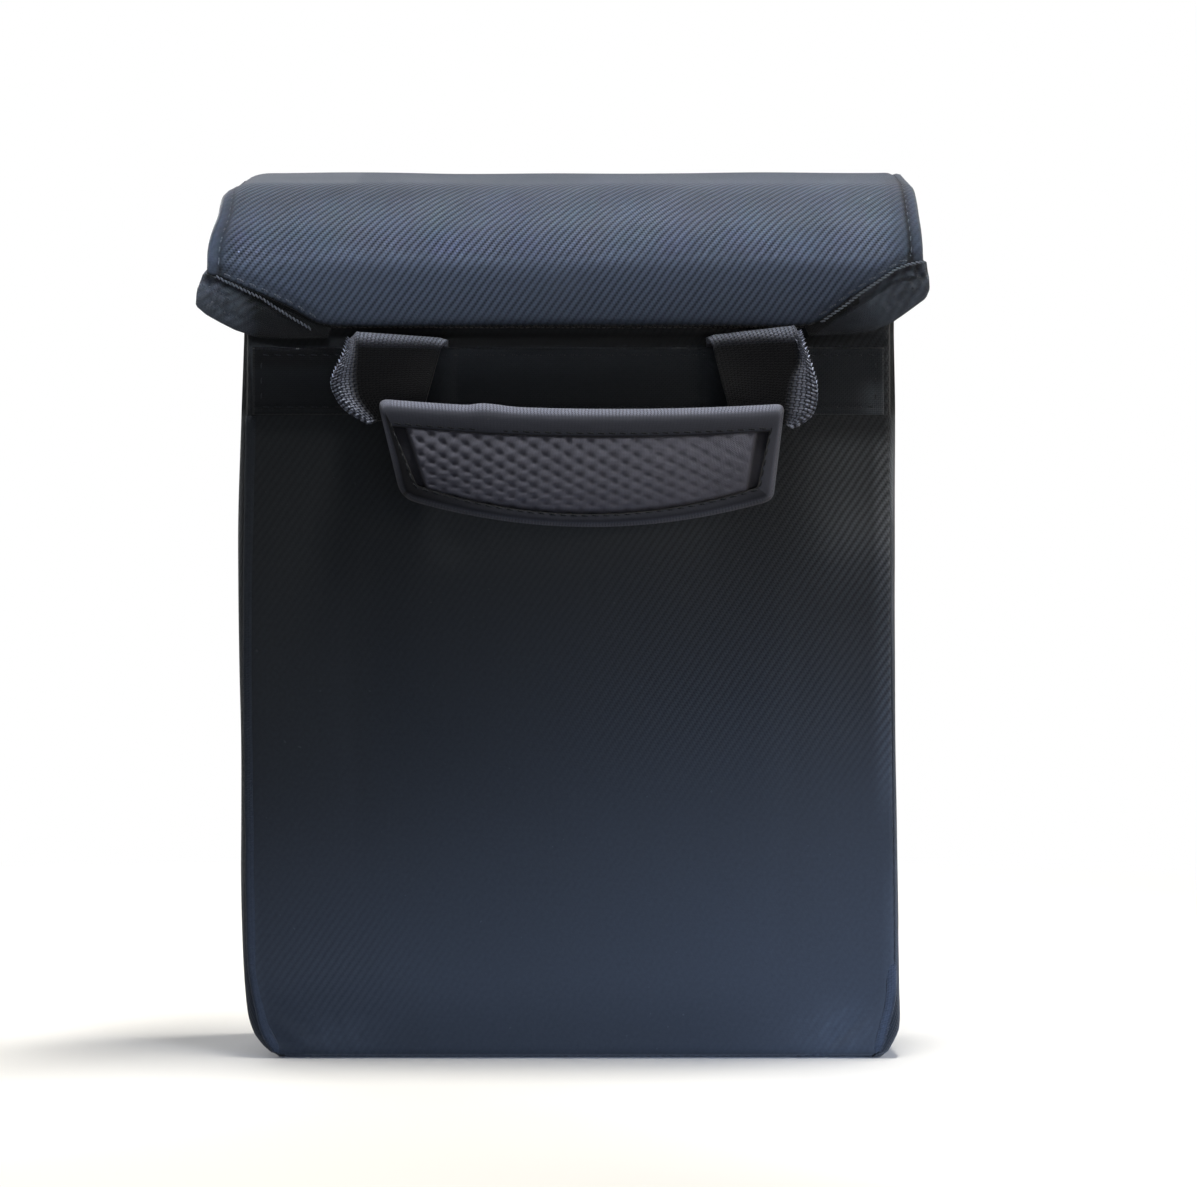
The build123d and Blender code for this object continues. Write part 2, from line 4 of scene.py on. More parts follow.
import bmesh
import bpy
from mathutils import Matrix, Vector, noise
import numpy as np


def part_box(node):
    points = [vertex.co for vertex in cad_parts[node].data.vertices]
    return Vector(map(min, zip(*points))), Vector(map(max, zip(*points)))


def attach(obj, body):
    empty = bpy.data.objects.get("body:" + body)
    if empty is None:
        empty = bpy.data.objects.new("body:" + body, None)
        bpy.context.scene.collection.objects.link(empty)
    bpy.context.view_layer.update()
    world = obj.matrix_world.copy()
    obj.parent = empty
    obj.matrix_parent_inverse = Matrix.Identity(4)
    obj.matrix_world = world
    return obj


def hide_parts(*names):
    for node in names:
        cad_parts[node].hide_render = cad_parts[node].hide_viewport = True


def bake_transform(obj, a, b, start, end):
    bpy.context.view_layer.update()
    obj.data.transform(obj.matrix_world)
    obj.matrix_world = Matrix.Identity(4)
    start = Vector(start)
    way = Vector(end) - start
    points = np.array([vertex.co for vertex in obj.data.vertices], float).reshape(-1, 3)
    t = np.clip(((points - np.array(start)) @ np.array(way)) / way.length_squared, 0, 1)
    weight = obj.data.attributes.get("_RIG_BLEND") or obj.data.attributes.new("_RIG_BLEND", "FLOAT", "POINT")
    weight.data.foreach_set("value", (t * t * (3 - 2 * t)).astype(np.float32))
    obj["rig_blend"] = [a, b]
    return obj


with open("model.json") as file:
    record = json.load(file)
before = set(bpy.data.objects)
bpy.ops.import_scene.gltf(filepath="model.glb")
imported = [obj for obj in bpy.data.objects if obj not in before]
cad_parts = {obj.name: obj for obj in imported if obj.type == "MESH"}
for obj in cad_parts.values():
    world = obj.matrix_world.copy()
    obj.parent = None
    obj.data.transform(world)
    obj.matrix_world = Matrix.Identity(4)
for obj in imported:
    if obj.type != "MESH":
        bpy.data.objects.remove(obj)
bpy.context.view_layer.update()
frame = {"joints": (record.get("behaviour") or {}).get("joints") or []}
mm = 0.001


def box(node):
    low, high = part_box(node)
    return Vector(low) / mm, Vector(high) / mm    # all the shapes below are worked out in millimetres


def lerp(start, end, share):
    return start + (end - start) * share


def acrossBox(low, high, a, b, y):
    # a place on a sheet that spans a box from left to right and from its foot up
    return (lerp(low.x, high.x, a), y, lerp(low.z, high.z, b))


def smooth(value, low=0.0, high=1.0):
    share = min(max((value - low) / (high - low), 0.0), 1.0)
    return share * share * (3 - 2 * share)


def fade(value, low, high):
    return 1 - smooth(value, low, high)


def hump(value, centre, width):
    return exp(-((value - centre) / width) ** 2)


def patch(dx, dz, wide, tall):
    return exp(-((dx / wide) ** 2) - (dz / tall) ** 2)


def fromRim(a, b, wide, tall):
    # distance in from the nearest edge of a sheet
    return min(min(a, 1 - a) * wide, min(b, 1 - b) * tall)


def ripple(x, z, scale, seed):
    return noise.noise(Vector((x * scale, z * scale, seed)))


def curveThrough(points):
    # a smooth function through (place, value) pairs, flat beyond its ends
    slopes = []
    for index in range(len(points)):
        before, after = points[max(index - 1, 0)], points[min(index + 1, len(points) - 1)]
        slopes.append((after[1] - before[1]) / (after[0] - before[0]))

    def value(place):
        if place <= points[0][0]:
            return points[0][1]
        if place >= points[-1][0]:
            return points[-1][1]
        index = next(number for number in range(1, len(points)) if place <= points[number][0])
        (p0, v0), (p1, v1) = points[index - 1], points[index]
        run = p1 - p0
        t = (place - p0) / run
        rise = v1 - v0
        first, second = slopes[index - 1] * run, slopes[index] * run
        return v0 + t * (first + t * (3 * rise - 2 * first - second + t * (first + second - 2 * rise)))
    return value


class Signal:
    # a value in a shader tree; sums of signals become Math nodes
    def __init__(self, node, output=0):
        self.tree, self.socket = node.id_data, node.outputs[output]

    def math(self, operation, *values):
        return Signal(addNode(self.tree, "Math", dict(enumerate((self, *values))), operation=operation))

    def __add__(self, other):
        return self.math("ADD", other)

    def __sub__(self, other):
        return self.math("SUBTRACT", other)

    def __rsub__(self, other):
        return self.math("MULTIPLY_ADD", -1.0, other)

    def __mul__(self, other):
        return self.math("MULTIPLY", other)

    def __truediv__(self, other):
        return self.math("DIVIDE", other)


def fill(node, values):
    # each input takes a plain value or the signal that feeds it
    for name, value in values.items():
        if isinstance(value, Signal):
            node.id_data.links.new(value.socket, node.inputs[name])
        else:
            node.inputs[name].default_value = value


def addNode(tree, kind, values={}, **settings):
    node = tree.nodes.new("ShaderNode" + kind)
    for name, value in settings.items():
        setattr(node, name, value)
    fill(node, values)
    return node


def cloudy(place, scale, detail=2.0):
    # even noise about zero
    return Signal(addNode(place.tree, "TexNoise", dict(Vector=place, Scale=scale, Detail=detail))) - 0.5


def splitPlace(place):
    split = addNode(place.tree, "SeparateXYZ", {0: place})
    return Signal(split, 0), Signal(split, 1)


def newGroup(name, inputs, outputs):
    # inputs are labels with their values: none for a place, four numbers for a colour
    group = bpy.data.node_groups.new(name, "ShaderNodeTree")
    for label, value in inputs.items():
        kind = "Vector" if value is None else "Color" if isinstance(value, tuple) else "Float"
        socket = group.interface.new_socket(name=label, in_out="INPUT", socket_type="NodeSocket" + kind)
        if value is not None:
            socket.default_value = value
    for label in outputs:
        kind = "Color" if label == "Color" else "Float"
        group.interface.new_socket(name=label, in_out="OUTPUT", socket_type="NodeSocket" + kind)
    source = group.nodes.new("NodeGroupInput")
    return group, [Signal(source, label) for label in inputs], group.nodes.new("NodeGroupOutput")


def makeTwillGroup():
    # rounded ribs at an angle, each broken into beads, with the yarn wandering a little
    group, (place, pitch, angle, bead, beadDepth, wander), result = newGroup(
        "twillWeave", {"Vector": None, "Pitch": 0.0014, "Angle": 0.9, "Bead": 0.0012, "Bead depth": 0.3,
                       "Wander": 0.3}, ["Height"])
    u, v = splitPlace(place)
    sine, cosine = angle.math("SINE"), angle.math("COSINE")
    ribs = cloudy(place, 130.0) * wander + (u * sine - v * cosine) / pitch
    wave = (ribs * pi).math("SINE")
    step = (ribs * 2.0 + 0.5).math("FLOOR") * 0.5        # the beads of one rib lie between those of the next
    beads = (u * cosine + v * sine) / bead + step
    crown = (beads * pi).math("SINE").math("ABSOLUTE")
    fill(result, {"Height": crown * beadDepth + wave * wave * (1.0 - beadDepth)})
    return group


def makePlainGroup():
    # over-and-under basket of round yarns
    group, (place, pitch, wander), result = newGroup(
        "plainWeave", {"Vector": None, "Pitch": 0.0006, "Wander": 0.3}, ["Height"])
    drift = (cloudy(place, 160.0) + 0.5) * wander
    u, v = (part / pitch + drift for part in splitPlace(place))
    warp, weft = ((part * pi).math("SINE").math("ABSOLUTE") for part in (u, v))
    over = (u.math("FLOOR") + v.math("FLOOR")).math("MODULO", 2.0).math("ABSOLUTE")
    fill(result, {"Height": over * warp + (1.0 - over) * weft})
    return group


wearAndLightLift = 3.0          # how much lighter yarn is at a full mark of wear and painted highlight; a mark below nothing is painted shade, darker
lintColor, lintFrom = (0.25, 0.27, 0.3, 1), 0.79


def makeToneGroup():
    # cloth colour: yarn tops lighter than the gaps, uneven dye, worn edges with painted highlight and painted
    # shade, and a little lint
    group, (place, color, gap, height, drift, lint, rub), result = newGroup(
        "clothTone", {"Vector": None, "Color": (0.1, 0.1, 0.1, 1), "Gap": 0.5, "Height": 0.5, "Drift": 0.12,
                      "Lint": 0.3, "WearAndPaintedLight": 0.0}, ["Color", "Roughness"])
    depth = height * (1.0 - gap) + gap
    crowns = rub.math("MAXIMUM", 0.0) * (height * 1.25 + 0.2)        # wear and painted highlight reach the crowns first
    wornAndLit = crowns + rub.math("MINIMUM", 0.0)
    wearAndLightLevel = (wornAndLit * wearAndLightLift + 1.0).math("MAXIMUM", 0.1)
    patches = cloudy(place, 22.0, 3.0)
    uneven = patches * drift + 1.0 + cloudy(place, 900.0) * (drift * 1.6)
    dyed = addNode(group, "VectorMath", {0: color, "Scale": depth * wearAndLightLevel * uneven}, operation="SCALE")
    specks = (cloudy(place, 520.0, 1.0) + 0.5).math("GREATER_THAN", lintFrom) * lint
    mixed = addNode(group, "Mix", {0: specks, 6: Signal(dyed), 7: lintColor}, data_type="RGBA")
    fill(result, {"Color": Signal(mixed, 2), "Roughness": patches * 0.2 + 0.8})
    return group


twillGroup, plainGroup, toneGroup = makeTwillGroup(), makePlainGroup(), makeToneGroup()


def srgb(red, green, blue):
    def linear(value):
        value = value / 255
        return value / 12.92 if value <= 0.04045 else ((value + 0.055) / 1.055) ** 2.4
    return (linear(red), linear(green), linear(blue), 1)


# sizes in mm; gap is how dark the cloth is between its yarns, and slot names a colour group that nothing here
# reads
ribbed = dict(weave="twill", bead=0.86, beadDepth=0.34, sheen=0.12)
sewing = dict(weave="twill", pitch=0.3, angle=30, bead=0.5, beadDepth=0.1, wander=0.1, gap=0.6, lint=0.0,
              bump=0.08, slot="thread")
finishes = {
    "twill": dict(ribbed, color=(70, 80, 99), pitch=1.72, angle=53, gap=0.14, drift=0.16, lint=0.12, bump=0.4),
    "bodyTwill": dict(ribbed, color=(60, 64, 70), pitch=1.74, angle=55, gap=0.54, drift=0.2, lint=0.08,
                      bump=0.22, slot="twill"),
    "plainCloth": dict(color=(42, 46, 52), pitch=0.55, wander=0.6, gap=0.88, drift=0.2, sheen=0.1,
                       slot="plain_cloth"),
    "facingCloth": dict(color=(60, 66, 76), pitch=0.5, wander=0.6, gap=0.75, drift=0.3, sheen=0.2,
                        slot="facing_cloth"),
    "webbing": dict(color=(60, 64, 75), pitch=0.95, wander=0.2, gap=0.15, lint=0.15, bump=0.4),
    "bindingTape": dict(color=(88, 92, 107), pitch=0.56, wander=1.4, gap=0.3, drift=0.12, slot="binding_tape"),
    "spacerMesh": dict(color=(121, 124, 143), pitch=0.42, wander=0.4, gap=0.6, bump=0.12, slot="spacer_mesh"),
    "coatedLining": dict(color=(150, 152, 150), pitch=0.8, gap=0.8, drift=0.1, lint=0.0, bump=0.12, sheen=0.0,
                         slot="coated_lining"),
    "loopPile": dict(color=(36, 37, 40), pitch=0.7, wander=2.5, gap=0.4, drift=0.5, lint=0.2, bump=0.5,
                     sheen=0.3, slot="loop_strip"),
    "hookTape": dict(color=(34, 35, 38), pitch=0.6, wander=0.2, gap=0.6, drift=0.2, lint=0.0, bump=0.2,
                     sheen=0.0, slot="hook_strip"),
    "stiffener": dict(color=(150, 146, 138), pitch=2.2, wander=6.0, gap=0.85, drift=0.1, bump=0.05, sheen=0.0),
    "cord": dict(sewing, color=(110, 118, 131), gap=0.7),
    "darkThread": dict(sewing, color=(46, 50, 57), drift=0.1, sheen=0.1),
    "thread": dict(sewing, color=(66, 72, 84), drift=0.1),
}
usualFinish = dict(weave="plain", wander=0.3, drift=0.15, lint=0.1, bump=0.1, sheen=0.15)


def makeCloth(name, look, onSurface=True):
    look = dict(usualFinish, **look)
    material = bpy.data.materials.new(name)
    material.use_nodes = True
    tree = material.node_tree
    if onSurface:
        place = Signal(addNode(tree, "UVMap", uv_map="weave"))
    else:
        place = Signal(addNode(tree, "TexCoord"), "Object")
    values = {"Vector": place, "Pitch": look["pitch"] * mm, "Wander": look["wander"]}
    group = plainGroup
    if look["weave"] == "twill":
        group = twillGroup
        values.update({"Angle": radians(look["angle"]), "Bead": look["bead"] * mm,
                       "Bead depth": look["beadDepth"]})
    weave = Signal(addNode(tree, "Group", values, node_tree=group))
    # the mark read here is real wear together with painted highlight and painted shade
    rub, blur = (Signal(addNode(tree, "Attribute", attribute_name=mark), "Fac") for mark in ("rub", "blur"))
    height = blur * (0.55 - weave) + weave       # pressed or felted cloth shows less of its weave
    tone = addNode(tree, "Group", {
        "Vector": place, "Height": height, "WearAndPaintedLight": rub, "Color": srgb(*look["color"]), "Gap": look["gap"],
        "Drift": look["drift"], "Lint": look["lint"]}, node_tree=toneGroup)
    bump = addNode(tree, "Bump", {"Strength": 1.0, "Distance": look["bump"] * mm, "Height": height})
    fill(tree.nodes["Principled BSDF"], {
        "Base Color": Signal(tone, "Color"), "Roughness": Signal(tone, "Roughness"), "Normal": Signal(bump),
        "Sheen Weight": look["sheen"], "Sheen Roughness": 0.45, "Specular IOR Level": 0.1})
    return material


cloths = {name: makeCloth(name, look) for name, look in finishes.items()}
solidCloths = {name: makeCloth(name + "Solid", look, False) for name, look in finishes.items()}
print("stage: materials made", len(cloths))


def addGrid(bm, columns, rows, place, flat, start=(0, 0), **marks):
    # a grid of cloth; place(a, b) gives a point in mm, flat is its cut size in mm or a function to its flat
    # cut, and the marks rub(a, b) and blur(a, b) say how worn it is, with its painted highlight and painted
    # shade, and how much of its weave is pressed out
    floats = bm.verts.layers.float
    marks = {name: mark for name, mark in marks.items() if mark}
    for name in marks:
        if not floats.get(name):
            floats.new(name)
    made = bmesh.ops.create_grid(bm, x_segments=columns, y_segments=rows, size=0.5)
    uvs = bm.loops.layers.uv.verify()
    shares = {vert: (vert.co.x + 0.5, vert.co.y + 0.5) for vert in made["verts"]}
    for face in {face for vert in made["verts"] for face in vert.link_faces}:
        for loop in face.loops:
            a, b = shares[loop.vert]
            u, v = flat(a, b) if callable(flat) else (a * flat[0], b * flat[1])
            loop[uvs].uv = ((start[0] + u) * mm, (start[1] + v) * mm)
    for vert, (a, b) in shares.items():
        vert.co = Vector(place(a, b)) * mm
        for name, mark in marks.items():
            vert[floats[name]] = mark(a, b)
    return made["verts"]


def addModifier(piece, name, kind, **settings):
    modifier = piece.modifiers.new(name, kind)
    for setting, value in settings.items():
        setattr(modifier, setting, value)


def finishPiece(bm, name, cloth, thickness=0.0, flip=False, softEdge=0.0, solid=False):
    # solid is for pieces of many small bodies, whose cloth is read from their place instead of their flat cut
    if flip:
        bmesh.ops.reverse_faces(bm, faces=bm.faces)
    for face in bm.faces:
        face.smooth = True
    mesh = bpy.data.meshes.new(name)
    bm.to_mesh(mesh)
    bm.free()
    if mesh.uv_layers:
        mesh.uv_layers[0].name = "weave"
    piece = bpy.data.objects.new(name, mesh)
    bpy.context.collection.objects.link(piece)
    mesh.materials.append((solidCloths if solid else cloths)[cloth])
    if thickness:
        addModifier(piece, "ply", "SOLIDIFY", thickness=thickness * mm, offset=-1.0, use_even_offset=False,
                    use_quality_normals=True)
    if softEdge:
        addModifier(piece, "softEdge", "BEVEL", width=softEdge * mm, segments=3, limit_method="ANGLE",
                    angle_limit=radians(50), harden_normals=False)
    return piece


def makeSheet(name, columns, rows, place, flat, cloth, thickness, start=(0, 0), rub=None, blur=None, **finish):
    bm = bmesh.new()
    addGrid(bm, columns, rows, place, flat, start, rub=rub, blur=blur)
    return finishPiece(bm, name, cloth, thickness, **finish)


def lineLength(points):
    return sum((Vector(b) - Vector(a)).length for a, b in zip(points, points[1:]))


def along(points, pitch):
    # evenly spaced (place, direction) pairs along a polyline in mm
    points = [Vector(point) for point in points]
    total = lineLength(points)
    count = max(int(total / pitch), 1)
    step = total / count
    found, walked, index = [], 0.0, 0
    for number in range(count):
        target = (number + 0.5) * step
        while index < len(points) - 2 and walked + (points[index + 1] - points[index]).length < target:
            walked += (points[index + 1] - points[index]).length
            index += 1
        run = points[index + 1] - points[index]
        found.append((points[index] + run.normalized() * (target - walked), run.normalized()))
    return found


stitchLook = dict(length=2.5, width=0.55, height=0.42, pitch=3.3, slant=7)


def makeStitches(name, rows, outward, lift=0.05, thread="thread", **look):
    # rows of raised stitches along lines on the cloth; outward is a direction or a function of the place
    look = dict(stitchLook, **look)
    bm = bmesh.new()
    slant = Matrix.Rotation(radians(look["slant"]), 4, "Z")
    size = Matrix.Diagonal((look["length"] / 2, look["width"] / 2, look["height"] / 2, 1))
    for place, direction in (spot for row in rows for spot in along(row, look["pitch"])):
        normal = Vector(outward(place) if callable(outward) else outward).normalized()
        side = direction.cross(normal).normalized()
        normal = side.cross(direction).normalized()
        turn = Matrix((direction, side, normal)).transposed().to_4x4()
        at = Matrix.Translation((place + normal * lift) * mm) @ turn @ slant @ Matrix.Scale(mm, 4) @ size
        bmesh.ops.create_icosphere(bm, subdivisions=1, radius=1.0, matrix=at)
    return finishPiece(bm, name, thread, solid=True)


def addTube(bm, points, section, segments, rub=None):
    # a closed rounded ridge along a line; section(share) gives (half width, half height) in mm
    points = [Vector(point) for point in points]
    last = len(points) - 1

    def place(a, b):
        index = min(int(round(b * last)), last)
        before, after = points[max(index - 1, 0)], points[min(index + 1, last)]
        direction = (after - before).normalized()
        side = direction.cross(Vector((0, 1, 0))).normalized()
        out = side.cross(direction).normalized()
        wide, high = section(b)
        turn = 2 * pi * a
        return points[index] + side * wide * cos(turn) + out * high * sin(turn)

    verts = addGrid(bm, segments, last, place, (6, lineLength(points)), rub=rub)
    bmesh.ops.remove_doubles(bm, verts=verts, dist=0.001 * mm)
    rims = [edge for edge in bm.edges if edge.is_boundary]
    bmesh.ops.edgeloop_fill(bm, edges=rims)


bag = dict(
    bottomRoll=3.0,        # radius of the soft edge round the base
    bulge=1.9,             # how far the front panel crowns below the band
    cornerRadius=3.2,
    gussetCrease=2.6,      # the side's middle fold at the mouth
    ply=1.1,
    foot=0.35,             # where the panels and sides start above the floor
)
frontLow, frontHigh = box("front_panel")
backHigh = box("back_panel")[1]
bandLow, bandHigh = box("handle_band")
frontFace, backFace, bagHalf = frontLow.y, backHigh.y, frontHigh.x
faceOf, panelTop = {-1: frontFace, 1: backFace}, {-1: frontHigh.z, 1: backHigh.z}      # front and back

# where the seams run on the front face, and the outline of the side beyond them, by height
seamLine = {
    "left": curveThrough([(0, 79.6), (3.6, 82.0), (8, 84.4), (14, 85.7), (19, 86.7), (26, 87.8), (60, 88.5),
                          (120, 89.0), (180, 88.2)]),
    "right": curveThrough([(0, 85.2), (4.7, 86.6), (10, 88.0), (15.5, 89.2), (22, 89.7), (60, 89.5),
                           (120, 88.8), (180, 88.2)]),
}
sideLine = {
    "left": curveThrough([(0, 80.6), (2.5, 83.6), (7, 87.0), (14, 88.9), (32, 90.0), (90, 90.5), (130, 91.2),
                          (178, 90.4), (200, 89.6)]),
    "right": curveThrough([(0, 88.0), (3, 89.1), (8, 91.3), (20, 91.3), (60, 90.7), (120, 90.0), (178, 90.2),
                           (200, 89.9)]),
}
sideSign = {"left": -1, "right": 1}

# soft dents: place, size and depth in mm, on the front panel
dents = [
    dict(x=-31, z=141, wide=7, tall=4, turn=-20, deep=0.55),
    dict(x=6, z=129, wide=1.2, tall=7, turn=4, deep=0.3),
    dict(x=73, z=4.5, wide=9, tall=1.3, turn=38, deep=0.8),
    dict(x=77, z=9, wide=8, tall=1.2, turn=35, deep=0.6),
    dict(x=80, z=14, wide=9, tall=1.6, turn=42, deep=0.5),
    dict(x=-78, z=5, wide=5, tall=1.5, turn=-30, deep=0.8),
    dict(x=-75, z=11, wide=9, tall=1.8, turn=-38, deep=0.45),
    dict(x=-60, z=100, wide=3, tall=60, turn=3, deep=0.35),
    dict(x=62, z=90, wide=4, tall=55, turn=-4, deep=0.35),
    dict(x=20, z=62, wide=38, tall=9, turn=8, deep=0.4),
]


def dent(x, z):
    total = 0.0
    for mark in dents:
        turn, dx, dz = radians(mark["turn"]), x - mark["x"], z - mark["z"]
        across, up = dx * cos(turn) + dz * sin(turn), dz * cos(turn) - dx * sin(turn)
        total += mark["deep"] * patch(across, up, mark["wide"], mark["tall"])
    return total


def swell(x, z):
    # the cloth pushed forward beside the handle and along the foot
    return 2.1 * patch(x - 80, z - 141, 17, 9.5) + 0.7 * patch(x + 66, z - 21, 22, 9)


def footTuck(z):
    # how far the soft edge round the base draws in
    roll = max(bag["bottomRoll"] - z, 0)
    return bag["bottomRoll"] - sqrt(bag["bottomRoll"] ** 2 - roll**2)


def panelPoint(way, a, z, inset=0.0):
    # way is -1 for the front and 1 for the back; a runs across it, inset goes in through the cloth
    left, right = -seamLine["left"](z), seamLine["right"](z)
    x = lerp(left, right, a)
    crown = sin(pi * a) ** 0.6 * smooth(z, 2, 55) * fade(z, 128, 174)
    out = bag["bulge"] * crown + 0.35 * ripple(x, z, 0.022, 3.1 + way) * crown
    edge = min(a, 1 - a) * (right - left)
    # the front's right seam lies flat above the foot
    flat = smooth(z, 18, 32) if way < 0 and a > 0.5 else 0.0
    out -= 0.2 * (1 - flat) * fade(edge, 0, 2.5) * fade(z, 170, 178)
    out += swell(x, z) * (way < 0)
    out -= dent(x, z) * (1 if way < 0 else 0.6) + footTuck(z)
    return (x, faceOf[way] + way * (out - inset), z)


cornerShare = 0.2          # of the side's cloth, turned round each corner


def gussetDepth(a):
    # y on the side, between its rounded corners
    radius = bag["cornerRadius"]
    share = min(max((a - cornerShare) / (1 - 2 * cornerShare), 0), 1)
    return lerp(frontFace + radius, backFace - radius, share)


def gussetTop(a):
    # the mouth rises evenly from front to back
    return lerp(frontHigh.z, backHigh.z, (gussetDepth(a) - frontFace) / (backFace - frontFace))


def gussetPoint(side, a, z, inset=0.0):
    # from the front seam round the corner, along the side and round to the back seam
    radius = bag["cornerRadius"]
    outer, seam = sideLine[side](z) - inset, seamLine[side](z)
    if cornerShare <= a <= 1 - cornerShare:
        y = gussetDepth(a)
        full = 0.9 * (1 - (y / backFace) ** 2) * fade(z, 150, 215) * smooth(z, 5, 40)
        x = outer + full - bag["gussetCrease"] * smooth(z, 45, 235) * hump(y, 0, 9)
        x += 0.3 * ripple(y, z, 0.03, 9.0 + sideSign[side])
    else:
        way = -1 if a < cornerShare else 1
        turn = min(a, 1 - a) / cornerShare
        x = seam + (outer - seam) * sin(turn * pi / 2)
        y = faceOf[way] - way * (inset + (radius - inset) * (1 - cos(turn * pi / 2)))
        y -= way * 0.2 * (1 - turn) ** 3 * fade(z, 170, 178)
        if way < 0:                     # beside the band the side tucks back behind the front edge
            y += 2.6 * smooth(z, 176, 179) * smooth(turn, 0.0, 0.3) * (1 - 0.6 * turn)
    return (sideSign[side] * (x - footTuck(z)), y, z)


def floorPlace(a, b, level, tuck, margin):
    # x and y on the bag's floor, drawn in from the seams at that level, and how far they are from its rim
    left, right = margin - seamLine["left"](level), seamLine["right"](level) - margin
    rim = fromRim(a, b, right - left, backFace - frontFace)
    return lerp(left, right, a), lerp(frontFace + tuck, backFace - tuck, b), rim


def panelBlur(a, b):
    # the twill is worn smooth in the middle of the panel and shows at its upper right and its foot's corners
    x, z = lerp(-90, 90, a), b * frontHigh.z
    shown = 0.07 + 0.9 * smooth(x, -25, 40) * smooth(z, 62, 105) + 0.35 * smooth(z, 100, 150) * fade(x, -25, 10)
    shown += 0.6 * patch(x + 68, z - 24, 24, 20) + 0.15 * patch(x - 76, z - 7, 16, 8)
    return 1 - min(shown, 1)


def panelWearAndPaintedLight(a, b):
    # scuffs pale the foot's corners and the side edges near the foot are a little paler; the rest is painted
    # light: a painted highlight along the right edge and beside the grip, painted shade low down and painted
    # shadow under the flap
    x, z = lerp(-90, 90, a), b * frontHigh.z
    scuffs = 0.16 * (0.6 + 0.6 * ripple(x, z, 0.35, 5.0))
    foot = scuffs * (patch(x + 70, z - 6, 12, 6) + patch(x - 77, z - 7, 11, 8))
    # the last term here is painted shade: darker towards the bottom
    foot += 0.07 * fade(90 - abs(x), 1.0, 4.0) * fade(z, 40, 60) - 0.07 * fade(z, 5, 24) * fade(x, 30, 80)
    # painted highlight along the right edge and beside the grip, then painted shadow under the flap
    middle = 0.16 * smooth(x, 84, 88) * smooth(z, 60, 80) * fade(z, 122, 142)
    upper = (0.24 * hump(x, 80, 13) + 0.36 * smooth(x, 85, 87.5)) * smooth(z, 122, 142) * fade(z, 167, 174)
    underFlap = (0.3 - 0.13 * smooth(abs(x - 2), 58, 72)) * smooth(z, 195, 197) - 0.17 * smooth(z, 199, 200.5)
    return foot + middle + upper - underFlap


# painted highlight on the right side's front edge, by height
paintedEdgeHighlight = curveThrough([(92, 0.05), (104, 0.12), (116, 0.45), (126, 0.75), (138, 0.65), (146, 0.9), (152, 1.5),
                         (165, 1.55), (171, 0.75), (177, 0.1)])


def gussetPaintedLight(side, a, b):
    # painted light: the highlight on the right side's front edge; painted shade low at the front corners and
    # where the side tucks back beside the band; a little darker all over
    z = lerp(bag["foot"], gussetTop(a), b)
    if side == "left":
        bright = -0.12 * fade(a, 0.1, 0.2) * fade(z, 40, 70)
    else:
        bright = paintedEdgeHighlight(z) * fade(a, 0.07, 0.16) - 0.15 * fade(z, 14, 24) * fade(a, 0.1, 0.2)
    return bright - 0.06 - 0.2 * smooth(z, 176, 179) * fade(a, 0.16, 0.3)


def makeBody():
    for way, name in ((-1, "front"), (1, "back")):
        def place(a, b):
            return panelPoint(way, a, lerp(bag["foot"], panelTop[way], b))

        def cut(a, b):          # the grain runs straight up though the panel narrows at its foot
            x, y, z = place(a, b)
            return x, z
        marks = dict(rub=panelWearAndPaintedLight, blur=panelBlur) if way < 0 else {}
        panel = makeSheet(name + "PanelCloth", 150, 170, place, cut, "bodyTwill", bag["ply"],
                          start=(0, 200 + 200 * way), flip=way > 0, **marks)
        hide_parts(name + "_panel")
        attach(panel, "bag")
    for side in sideSign:
        gusset = makeSheet(side + "GussetCloth", 60, 150,
                           lambda a, b: gussetPoint(side, a, lerp(bag["foot"], gussetTop(a), b)), (71, 230),
                           "bodyTwill", bag["ply"], start=(200, 0), rub=lambda a, b: gussetPaintedLight(side, a, b),
                           flip=side == "left")
        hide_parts(side + "_gusset")
        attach(gusset, "bag")

    def basePoint(a, b):
        x, y, rim = floorPlace(a, b, 0, 1.2, 0.4)
        return (x, y, 0.08 + 0.35 * fade(rim, 0, 4))
    base = makeSheet("baseCloth", 80, 36, basePoint, (168, 62), "bodyTwill", bag["ply"], start=(0, 700),
                     flip=True)
    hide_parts("base_panel")
    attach(base, "bag")


def seamPoints(side, way, low, high, out, inward=0.0, count=90):
    points = []
    for index in range(count + 1):
        z = lerp(low, high, index / count)
        wobble = 0.16 * ripple(z, side == "left", 0.09, 5.0 + way)
        sunk = 0.9 * smooth(z, 20, 34) if way < 0 and side == "right" else 0.0
        points.append((sideSign[side] * (seamLine[side](z) + wobble - inward),
                       faceOf[way] + way * (out - footTuck(z) - sunk), z))
    return points


def ridgePaintedLight(side, a, b):
    # painted light and shade: the crown painted as catching the light, the side beyond it in painted shade; a
    # runs round from the side
    outer = max(-sideSign[side] * cos(2 * pi * a), 0)
    low = fade(b, 0.07, 0.13) if side == "right" else fade(b, 0.2, 0.6)
    return (0.02 - 0.18 * smooth(outer, 0.2, 0.8)) * low


